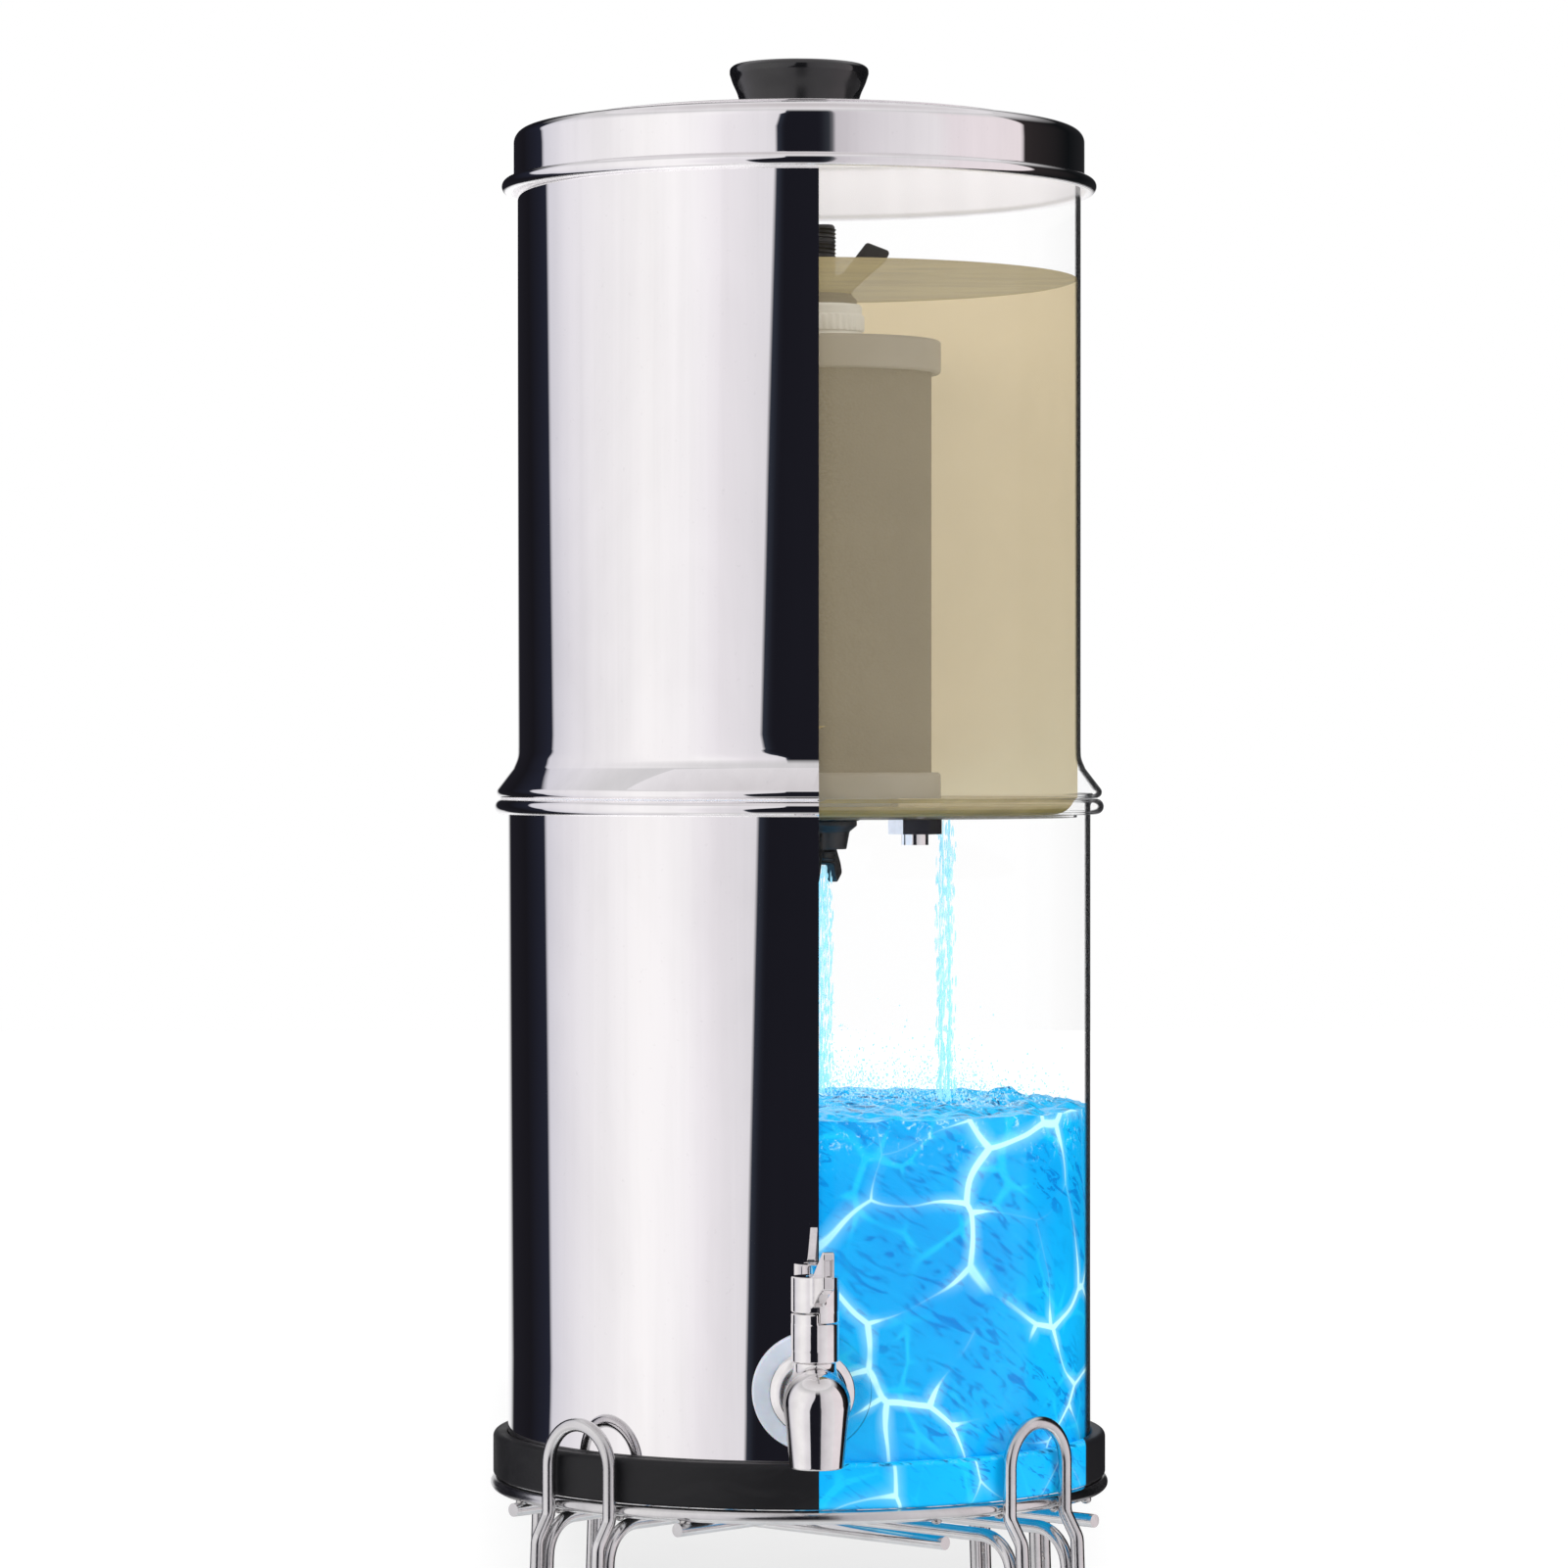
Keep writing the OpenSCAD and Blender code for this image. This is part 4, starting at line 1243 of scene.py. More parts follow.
@dataclass
class CleanWater(Assembly):
    """Blue water in the lower chamber, choppy where the streams land."""

    side_steps: int = 12
    rings: int = 90
    waves: int = 16
    seed: int = 41

    def chop(self, points: np.ndarray) -> np.ndarray:
        """Raises the surface in rings and crowns round each stream, small waves between.

        Args:
            points: Corners in millimetres, one a row.

        Returns:
            The new corners.
        """
        top = np.abs(points[:, 2] - DATUM.clean_level) < 1e-6
        edge = np.clip((109.2 - np.hypot(points[:, 0], points[:, 1])) / 6.0, 0.35, 1)
        wave = np.zeros(len(points))
        for x, y in DATUM.drips:
            away = np.hypot(points[:, 0] - x, points[:, 1] - y)
            turn = np.arctan2(points[:, 1] - y, points[:, 0] - x)
            wave += 1.5 * np.exp(-away / 34.0) * np.cos(away / 2.6)
            wave += np.exp(-((away - 8.0) / 2.4) ** 2) * (1.6 + 1.1 * np.sin(7 * turn) + 0.8 * np.sin(17 * turn + 1))
        random = np.random.default_rng(self.seed)
        for _ in range(self.waves):
            turn, length, phase = random.uniform(0, np.pi), random.uniform(5, 22), random.uniform(0, 6.3)
            along = points[:, 0] * math.cos(turn) + points[:, 1] * math.sin(turn)
            wave += 0.022 * length * np.sin(FULL_TURN * along / length + phase)
        points[top, 2] += (wave * edge)[top]
        return points

    def build(self) -> None:
        """Makes and places the water."""
        d, level = DATUM, DATUM.clean_level
        wall, low = d.chamber_r - d.sheet - WATER_GAP, d.can_bend()[1]
        outline = ([(0.0, d.can_z + d.sheet + WATER_GAP)]
                   + arc(d.can_bend(), d.corner - d.sheet - WATER_GAP, -90, 0, 8)
                   + [(wall, low + (level - low) * i / self.side_steps) for i in range(1, self.side_steps)]
                   + [(wall * (1 - i / self.rings), level) for i in range(self.rings + 1)])
        self.add(revolve("clean_water", outline, segments=288, shape=self.chop), "lower_vessel", finish="clean_water")


# ---------------------------------------------------------------- blended castings


def rounded(a: np.ndarray, b: np.ndarray, edge: float) -> np.ndarray:
    """Returns: distance to what two distances share, both of them drawn in by edge, its corners rounded by it."""
    return np.minimum(np.maximum(a, b), 0) + np.hypot(np.maximum(a, 0), np.maximum(b, 0)) - edge


def disc(p: np.ndarray, centre: Sequence[float], axis: int, radius: float, low: float, high: float,
         edge: float = 0.0) -> np.ndarray:
    """Distance to a cylinder along an axis, its rims rounded.

    Args:
        p: Rows of points.
        centre: Any point on the axis.
        axis: 0, 1 or 2 for x, y or z.
        radius: Its radius.
        low: Lower end along the axis.
        high: Upper end along the axis.
        edge: Radius of the rims.

    Returns:
        Signed distances, negative inside.
    """
    i, j = (k for k in range(3) if k != axis)
    away = np.hypot(p[:, i] - centre[i], p[:, j] - centre[j]) - radius + edge
    return rounded(away, np.abs(p[:, axis] - (low + high) / 2) - (high - low) / 2 + edge, edge)


def melt(a: np.ndarray, b: np.ndarray, k: float) -> np.ndarray:
    """Returns: the union of two distances, with a fillet about k wide."""
    h = np.clip(0.5 + 0.5 * (b - a) / k, 0, 1)
    return b * (1 - h) + a * h - k * h * (1 - h)


def carve(a: np.ndarray, b: np.ndarray, k: float = 0.2) -> np.ndarray:
    """Returns: the first distance less the second, with its new edge eased by k."""
    return -melt(-a, b, k)


def polygon_distance(u: np.ndarray, v: np.ndarray, corners: Sequence[Point]) -> np.ndarray:
    """Signed distance to a closed polygon in a plane.

    Args:
        u: First coordinate of the points.
        v: Second coordinate.
        corners: The polygon's corners.

    Returns:
        Signed distances, negative inside.
    """
    best = np.full(u.shape, np.inf)
    inside = np.zeros(u.shape, bool)
    for (ax, ay), (bx, by) in zip(corners, list(corners[1:]) + [corners[0]]):
        ex, ey = bx - ax, by - ay
        t = np.clip(((u - ax) * ex + (v - ay) * ey) / (ex * ex + ey * ey), 0, 1)
        best = np.minimum(best, np.hypot(u - ax - t * ex, v - ay - t * ey))
        with np.errstate(divide="ignore", invalid="ignore"):
            inside ^= ((ay > v) != (by > v)) & (u < (bx - ax) * (v - ay) / (by - ay) + ax)
    return np.where(inside, -best, best)


def sector_distance(p: np.ndarray, centre: Point, start: float, end: float) -> np.ndarray:
    """Signed distance to a wedge under 180 degrees about an upright axis.

    Args:
        p: Rows of points.
        centre: The axis.
        start: First side in degrees.
        end: Second side in degrees, anticlockwise from the first.

    Returns:
        Signed distances, negative inside.
    """
    a, b = math.radians(start), math.radians(end)
    x, y = p[:, 0] - centre[0], p[:, 1] - centre[1]
    return np.maximum(math.sin(a) * x - math.cos(a) * y, -math.sin(b) * x + math.cos(b) * y)


def gradient(shape: Bend, points: np.ndarray, reach: float = 0.05) -> np.ndarray:
    """Returns: the field's unit slope at each point."""
    slope = np.stack([shape(points + reach * e) - shape(points - reach * e) for e in np.eye(3)], 1)
    return slope / np.maximum(np.linalg.norm(slope, axis=1)[:, None], 1e-9)


def window(spans: dict[int, slice]) -> tuple[slice, slice, slice]:
    """Returns: a grid window with the given span along each named axis, whole along the others."""
    return tuple(spans.get(axis, slice(None)) for axis in range(3))


def crossing_cells(value: np.ndarray) -> tuple[np.ndarray, np.ndarray]:
    """Finds the cells that a surface crosses.

    Args:
        value: Signed distances on a grid.

    Returns:
        The cells, and the mean of the crossings on each cell's edges, from 0 to 1 along each axis.
    """
    cells = tuple(n - 1 for n in value.shape)
    total, count = np.zeros(cells + (3,)), np.zeros(cells)
    for axis in range(3):
        a, b = value[window({axis: slice(0, -1)})], value[window({axis: slice(1, None)})]
        crossed = (a < 0) != (b < 0)
        share = np.where(crossed, a / np.where(crossed, a - b, 1), 0)
        u, v = (k for k in range(3) if k != axis)
        for i, j in product((0, 1), (0, 1)):
            part = window({u: slice(i, cells[u] + i), v: slice(j, cells[v] + j)})
            hit = crossed[part]
            count += hit
            for along, step in ((axis, share[part]), (u, i), (v, j)):
                total[..., along] += np.where(hit, step, 0)
    found = np.argwhere(count > 0)
    return found, total[tuple(found.T)] / count[tuple(found.T)][:, None]


def cast_mesh(name: str, shape: Bend, low: Sequence[float], high: Sequence[float], step: float) -> Piece:
    """Meshes the zero surface of a distance field with one corner in each crossed cell.

    Args:
        name: Piece name.
        shape: Signed distance in millimetres for rows of points.
        low: Lower corner of the box searched.
        high: Its upper corner.
        step: Cell size.

    Returns:
        The new object, with its normals taken from the field.
    """
    axes = [np.arange(a, b + step, step) for a, b in zip(low, high)]
    size = tuple(len(a) for a in axes)
    grid = np.stack(np.meshgrid(*axes, indexing="ij"), -1).reshape(-1, 3)
    value = np.concatenate([shape(block) for block in np.array_split(grid, 12)]).reshape(size)
    cells, share = crossing_cells(value)
    number = -np.ones(tuple(n - 1 for n in size), int)
    number[tuple(cells.T)] = np.arange(len(cells))
    points = (cells + share) * step + np.array([a[0] for a in axes])
    for _ in range(3):
        slope = gradient(shape, points)
        points -= np.clip(shape(points), -step, step)[:, None] * slope
    faces = []
    for axis in range(3):
        inner = {k: slice(1, -1) for k in range(3)}
        a, b = (value[window(inner | {axis: span})] < 0 for span in (slice(0, -1), slice(1, None)))
        spots = np.argwhere(a != b)
        base = spots + 1
        base[:, axis] -= 1
        ring = []
        for du, dv in ((1, 1), (0, 1), (0, 0), (1, 0)):
            cell = base.copy()
            cell[:, (axis + 1) % 3] -= du
            cell[:, (axis + 2) % 3] -= dv
            ring.append(number[tuple(cell.T)])
        quads = np.stack(ring, 1)
        flip = ~a[tuple(spots.T)]
        quads[flip] = quads[flip][:, ::-1]
        faces.append(quads)
    mesh = bpy.data.meshes.new(name)
    mesh.from_pydata((points * MM).tolist(), [], np.concatenate(faces).tolist())
    mesh.polygons.foreach_set("use_smooth", [True] * len(mesh.polygons))
    mesh.normals_split_custom_set_from_vertices(gradient(shape, points).tolist())
    return link_object(name, mesh)


@dataclass
class Tap(Assembly):
    """The quarter-turn tap: a blended casting, a bonnet with a stop land, a stepped handle and its seals."""

    washer_r: float = 21.5
    washer_front: float = 113.0
    shank_r: float = 8.05
    flange_r: float = 15.1
    barrel_r: float = 11.0
    shoulder_r: float = 11.7
    lip_tilt: float = 5.8
    outlet_bore: float = 6.8
    bonnet_r: float = 8.5
    plug_r: float = 4.05
    neck_h: float = 13.4
    low_land: float = 27.2
    high_land: float = 30.8
    cap_top: float = 43.9
    closed: float = -83.0
    lever_w: float = 4.2
    lever_tip: float = 29.0

    def valve(self) -> Triple:
        """Returns: where the valve's axis crosses the barrel's."""
        return (0.0, -DATUM.chamber_r - DATUM.valve_out, DATUM.tap_z)

    def upright(self, p: np.ndarray, radius: float, low: float, high: float, edge: float = 0.0) -> np.ndarray:
        """Returns: distance to a cylinder on the valve's axis, its ends measured from the barrel's axis."""
        x, y, z = self.valve()
        return disc(p, (x, y, 0), 2, radius, z + low, z + high, edge)

    def barrel(self, p: np.ndarray, radius: float, low: float, high: float, edge: float = 0.0) -> np.ndarray:
        """Returns: distance to a cylinder on the barrel's axis."""
        return disc(p, (0, 0, DATUM.tap_z), 1, radius, low, high, edge)

    def spout_distance(self, p: np.ndarray) -> np.ndarray:
        """Measures to the spout, a round shoulder that runs into a taper.

        Args:
            p: Points in millimetres, one a row.

        Returns:
            Signed distances.
        """
        x, y, z = self.valve()
        out, up = np.hypot(p[:, 0] - x, p[:, 1] - y + DATUM.spout_reach), p[:, 2] - z
        tilt = math.radians(self.lip_tilt)
        taper = math.cos(tilt) * out - math.sin(tilt) * up - self.shoulder_r
        along = math.sin(tilt) * out + math.cos(tilt) * up
        body = np.where(along > 0, np.hypot(out, up) - self.shoulder_r, taper)
        return carve(body, up + DATUM.spout_drop, 0.7)

    def body(self, p: np.ndarray) -> np.ndarray:
        """Measures to the whole casting.

        Args:
            p: Points in millimetres, one a row.

        Returns:
            Signed distances.
        """
        x, y, z = self.valve()
        front, spout_y = -self.washer_front, y - DATUM.spout_reach
        made = melt(self.barrel(p, self.flange_r, front - 2.6, front, 0.8),
                    self.barrel(p, self.barrel_r, spout_y, front), 7.0)
        made = melt(made, self.spout_distance(p), 2.4)
        made = melt(made, self.upright(p, self.bonnet_r - 1.0, -2, self.neck_h, 0.5), 3.4)
        made = np.maximum(made, p[:, 1] - front)
        made = np.maximum(made, p[:, 2] - z - self.neck_h)
        made = carve(made, self.barrel(p, self.shank_r, front - 9, front + 2))
        made = carve(made, self.barrel(p, 3.5, spout_y, front + 2))
        made = carve(made, self.upright(p, 5.51, -6.8, 20))
        made = carve(made, self.upright(p, 6.55, 8.1, 20))
        return carve(made, disc(p, (x, spout_y, 0), 2, self.outlet_bore, z - 40, z + 3.5), 0.9)

    def bonnet(self, p: np.ndarray) -> np.ndarray:
        """Measures to the bonnet, its land standing over part of the circle.

        Args:
            p: Points in millimetres, one a row.

        Returns:
            Signed distances.
        """
        tube = self.upright(p, self.bonnet_r, self.neck_h + 0.05, self.low_land, 0.45)
        land = self.upright(p, self.bonnet_r, self.neck_h + 4, self.high_land, 0.45)
        made = melt(tube, carve(land, -sector_distance(p, self.valve()[:2], 143.5, 275.5), 0.5), 0.3)
        made = melt(made, self.upright(p, 6.5, 8.4, self.neck_h + 1), 0.1)
        return carve(made, self.upright(p, self.plug_r, 0, 60))

    def handle(self, p: np.ndarray) -> np.ndarray:
        """Measures to the cap, its half skirt and its lever.

        Args:
            p: Points in millimetres, one a row.

        Returns:
            Signed distances.
        """
        x, y, z = self.valve()
        tip, top, edge = self.lever_tip - 1.2, self.cap_top, 0.5
        cap = self.upright(p, self.bonnet_r, self.high_land + 0.3, top, 0.6)
        skirt = self.upright(p, self.bonnet_r, self.low_land + 0.3, top - 4, 0.5)
        made = melt(cap, carve(skirt, -sector_distance(p, (x, y), self.closed, self.closed + 135), 0.5), 0.3)
        turn = math.radians(self.closed)
        out = (p[:, 0] - x) * math.cos(turn) + (p[:, 1] - y) * math.sin(turn)
        side = -(p[:, 0] - x) * math.sin(turn) + (p[:, 1] - y) * math.cos(turn)
        up = p[:, 2] - z
        outline = [(5.5, top - 9.7), (20.0, top - 3.6), (tip, top - 1.6), (tip, top + 9.6), (10.5, top + 1.0),
                   (5.5, top - 2.0)]
        flat = polygon_distance(out, up, outline) - 0.7
        made = melt(made, rounded(flat, np.abs(side) - self.lever_w / 2 + edge, edge), 1.4)
        cup = np.maximum(np.abs(side) - 1.2, np.abs(up - top - 4.9) - 2.9)
        made = carve(made, np.maximum(cup, tip - 1.2 - out), 0.6)
        made = carve(made, self.upright(p, self.plug_r, 0, top - 3.9))
        made = carve(made, self.upright(p, 1.6, 0, 80), 0.1)
        return carve(made, self.upright(p, 3.1, top - 2, 80), 0.4)

    def washer(self, name: str) -> Piece:
        """Makes the outer washer, flat in front and curved to the chamber behind.

        Args:
            name: The piece's name.

        Returns:
            The washer.
        """
        r, e = self.washer_r, 0.7
        outline = [(8.1, 1.0), (8.1, 0.0), (r - e, 0.0)] + arc((r - e, e), e, -90, 0, 5)[1:] + [(r, 1.0)]

        def bend(points: np.ndarray) -> np.ndarray:
            """Turns the flat ring upright and lays it on the wall.

            Args:
                points: Corners in millimetres, one a row.

            Returns:
                The new corners.
            """
            x, up, s = points[:, 0], points[:, 1], points[:, 2]
            wall = np.sqrt((DATUM.chamber_r + 0.05) ** 2 - x ** 2)
            depth = np.where(s >= 1.0, self.washer_front - wall, s)
            return np.stack([x, -self.washer_front + depth, DATUM.tap_z + up], 1)

        return revolve(name, outline, segments=160, shape=bend)

    def build(self) -> None:
        """Makes and places the tap's pieces."""
        x, y, z = self.valve()
        for name, shape, low, high, step, body, node in (
                ("tap_casting", self.body, (-17, -165, z - 24.5), (17, -112, z + 15.5), 0.5, "lower_vessel",
                 "tap_body"),
                ("tap_bonnet_tube", self.bonnet, (-10, y - 10, z + 7), (10, y + 10, z + 32), 0.36, "lower_vessel",
                 "tap_bonnet"),
                ("tap_lever_casting", self.handle, (-11, y - 31, z + 26), (11, y + 10, z + 56.5), 0.36, "tap_lever",
                 "tap_handle")):
            self.add(cast_mesh(name, shape, low, high, step), body, "tap_metal", node)
        self.add_cut(self.washer, "tap_washer_soft", "lower_vessel", "silicone", "tap_washer_outer")


@dataclass
class WingNut(Assembly):
    """One black wing nut, cast in one with its two swept ears."""

    number: int
    upper: bool
    low_turn: float = 75.0

    def distance(self, p: np.ndarray) -> np.ndarray:
        """Measures to the nut, standing on the origin.

        Args:
            p: Points in millimetres, one a row.

        Returns:
            Signed distances.
        """
        out, up = np.hypot(p[:, 0], p[:, 1]), p[:, 2]
        hub = polygon_distance(out, up, [(0, 0.4), (12.6, 0.4), (12.6, 1.7), (9.8, 4.0), (8.6, 10.6), (0, 10.6)]) - 0.4
        ear = polygon_distance(np.abs(p[:, 0]), up,
                               [(7.0, 3.6), (22.6, 17.5), (24.0, 20.0), (17.2, 22.6), (7.0, 9.2)]) - 0.9
        flare = 1.0 + 0.5 * np.clip((up - 10) / 12, 0, 1)
        made = melt(hub, rounded(ear, np.abs(p[:, 1]) - flare, 0.5), 2.2)
        return carve(np.maximum(made, -up), disc(p, (0, 0, 0), 2, DATUM.stem_r + 0.05, -5, 40), 0.4)

    def build(self) -> None:
        """Makes and places the nut."""
        letter, level = "ab"[self.number], "upper" if self.upper else "lower"
        made = cast_mesh(f"wing_nut_{letter}_{level}_cast", self.distance, (-26.5, -14, -1), (26.5, 14, 25.5), 0.5)
        height = DATUM.floor_z + (197.0 if self.upper else -2.8)
        move = Matrix.Translation(Vector((*DATUM.hole(self.number), height)) * MM)
        if not self.upper:
            move = move @ Matrix.Rotation(math.radians(self.low_turn), 4, "Z") @ Matrix.Rotation(math.pi, 4, "X")
        made.data.transform(move)
        made.data.update()
        self.add(made, f"{level}_nut_{letter}", "dark_plastic", f"wing_nut_{letter}_{level}")


# ---------------------------------------------------------------- node trees


class Growth:
    """A geometry node tree with named inputs, run on one object and then made plain mesh."""

    def __init__(self, name: str, **inputs: float | int | Triple) -> None:
        """Starts a tree that takes geometry, the named inputs with their defaults, and a material.

        Args:
            name: The tree's name.
            inputs: Named inputs, with _ for a blank, and their defaults.
        """
        kinds = {float: "Float", int: "Int", tuple: "Vector"}
        self.tree = bpy.data.node_groups.new(name, "GeometryNodeTree")
        for way in ("INPUT", "OUTPUT"):
            self.tree.interface.new_socket("Geometry", in_out=way, socket_type="NodeSocketGeometry")
        for key, value in inputs.items():
            self.tree.interface.new_socket(key.replace("_", " "), in_out="INPUT",
                                           socket_type="NodeSocket" + kinds[type(value)]).default_value = value
        self.tree.interface.new_socket("Material", in_out="INPUT", socket_type="NodeSocketMaterial")
        self.given = self.tree.nodes.new("NodeGroupInput").outputs
        self.end = self.tree.nodes.new("NodeGroupOutput")

    def node(self, kind: str, inputs: dict, **settings: object) -> Socket:
        """Returns: a new node's first output, its inputs given as values, sockets or names of the tree's inputs."""
        found = {key: self.given[value] if isinstance(value, str) else value for key, value in inputs.items()}
        return add_node(self.tree, kind, found, settings).outputs[0]

    def close(self, geometry: Socket) -> "Growth":
        """Ends the tree: smooth shading, real instances and the material.

        Args:
            geometry: What the tree has made.

        Returns:
            The same tree.
        """
        smooth = self.node("GeometryNodeSetShadeSmooth", {"Geometry": geometry})
        real = self.node("GeometryNodeRealizeInstances", {"Geometry": smooth})
        done = self.node("GeometryNodeSetMaterial", {"Geometry": real, "Material": "Material"})
        self.tree.links.new(done, self.end.inputs[0])
        return self

    def grow(self, name: str, base: bpy.types.ID, material: Material, **values: float | int | Triple) -> Piece:
        """Runs the tree on a mesh or curve.

        Args:
            name: Piece name.
            base: The mesh or curve data that it starts from.
            material: The pieces' material.
            values: Named inputs, with _ for a blank.

        Returns:
            The finished mesh object.
        """
        start = link_object(name, base)
        modifier = start.modifiers.new(self.tree.name, "NODES")
        modifier.node_group = self.tree
        sockets = {item.name: item.identifier for item in self.tree.interface.items_tree
                   if item.item_type == "SOCKET" and item.in_out == "INPUT"}
        for key, value in (values | {"Material": material}).items():
            modifier[sockets[key.replace("_", " ")]] = value
        start.update_tag()
        mesh = plain_mesh(start)
        bpy.data.objects.remove(start)
        return finish_mesh(name, mesh)


def sweep_tree() -> Growth:
    """Returns: a tree that runs a round wire along curves."""
    g = Growth("wire_sweep", Wire_Radius=0.0025, Sides=24)
    ring = g.node("GeometryNodeCurvePrimitiveCircle", {"Resolution": "Sides", "Radius": "Wire Radius"})
    return g.close(g.node("GeometryNodeCurveToMesh", {"Curve": "Geometry", "Profile Curve": ring, "Fill Caps": True}))


def scatter_tree() -> Growth:
    """Returns: a tree that puts small rounded lumps on points, each a little different."""
    g = Growth("lump_scatter", Lump_Radius=0.002, Least_Scale=(0.8, 0.8, 0.8), Most_Scale=(1.2, 1.2, 1.2), Seed=7,
               Detail=2)
    lump = g.node("GeometryNodeMeshIcoSphere", {"Radius": "Lump Radius", "Subdivisions": "Detail"})
    scale = g.node("FunctionNodeRandomValue", {"Min": "Least Scale", "Max": "Most Scale", "Seed": "Seed"},
                   data_type="FLOAT_VECTOR")
    return g.close(g.node("GeometryNodeInstanceOnPoints", {"Points": "Geometry", "Instance": lump, "Scale": scale}))


def thread_tree() -> Growth:
    """Returns: a tree that winds a screw thread's ridge up from each given point."""
    g = Growth("thread_ridge", Thread_Radius=0.0046, Turns=20.0, Height=0.03, Ridge=0.0005, Steps=28)
    coil = g.node("GeometryNodeCurveSpiral", {"Resolution": "Steps", "Rotations": "Turns", "Height": "Height",
                                              "Start Radius": "Thread Radius", "End Radius": "Thread Radius"})
    ring = g.node("GeometryNodeCurvePrimitiveCircle", {"Resolution": 4, "Radius": "Ridge"})
    ridge = g.node("GeometryNodeCurveToMesh", {"Curve": coil, "Profile Curve": ring, "Fill Caps": True})
    return g.close(g.node("GeometryNodeInstanceOnPoints", {"Points": "Geometry", "Instance": ridge}))


def curve_data(name: str, paths: Sequence[tuple[list[Sequence[float]], bool]]) -> bpy.types.Curve:
    """Makes curve data from paths in millimetres.

    Args:
        name: Data name.
        paths: Each path's points, and whether it closes on itself.

    Returns:
        The curve data.
    """
    data = bpy.data.curves.new(name, "CURVE")
    data.dimensions = "3D"
    for points, closed in paths:
        line = data.splines.new("POLY")
        line.points.add(len(points) - 1)
        line.points.foreach_set("co", [c for p in points for c in (p[0] * MM, p[1] * MM, p[2] * MM, 1.0)])
        line.use_cyclic_u = closed
    return data


def point_mesh(name: str, points: Sequence[Sequence[float]]) -> bpy.types.Mesh:
    """Makes a mesh of loose points.

    Args:
        name: The mesh's name.
        points: Places in millimetres.

    Returns:
        The mesh.
    """
    mesh = bpy.data.meshes.new(name)
    mesh.from_pydata([tuple(c * MM for c in p) for p in points], [], [])
    return mesh


def bend_corners(points: Sequence[Sequence[float]], radii: Sequence[float], steps: int = 10) -> list[np.ndarray]:
    """Rounds the corners of an open path as a bending tool does.

    Args:
        points: Corners of the path.
        radii: Bend radius at each corner; 0 keeps the point.
        steps: Chords in each bend.

    Returns:
        The path's points.
    """
    p = [np.array(q, float) for q in points]
    made = []
    for i, (corner, radius) in enumerate(zip(p, radii)):
        if radius <= 0:
            made.append(corner)
            continue
        a, b = p[i - 1] - corner, p[i + 1] - corner
        a, b = a / np.linalg.norm(a), b / np.linalg.norm(b)
        half = math.acos(max(-1, min(1, float(a @ b)))) / 2
        middle = corner + (a + b) / np.linalg.norm(a + b) * radius / math.sin(half)
        start, end = (corner + way * radius / math.tan(half) for way in (a, b))
        u = (start - middle) / radius
        v = (end - middle) - u * float((end - middle) @ u)
        v = v / np.linalg.norm(v)
        sweep = math.pi - 2 * half
        made += [middle + radius * (math.cos(sweep * k / steps) * u + math.sin(sweep * k / steps) * v)
                 for k in range(steps + 1)]
    return made


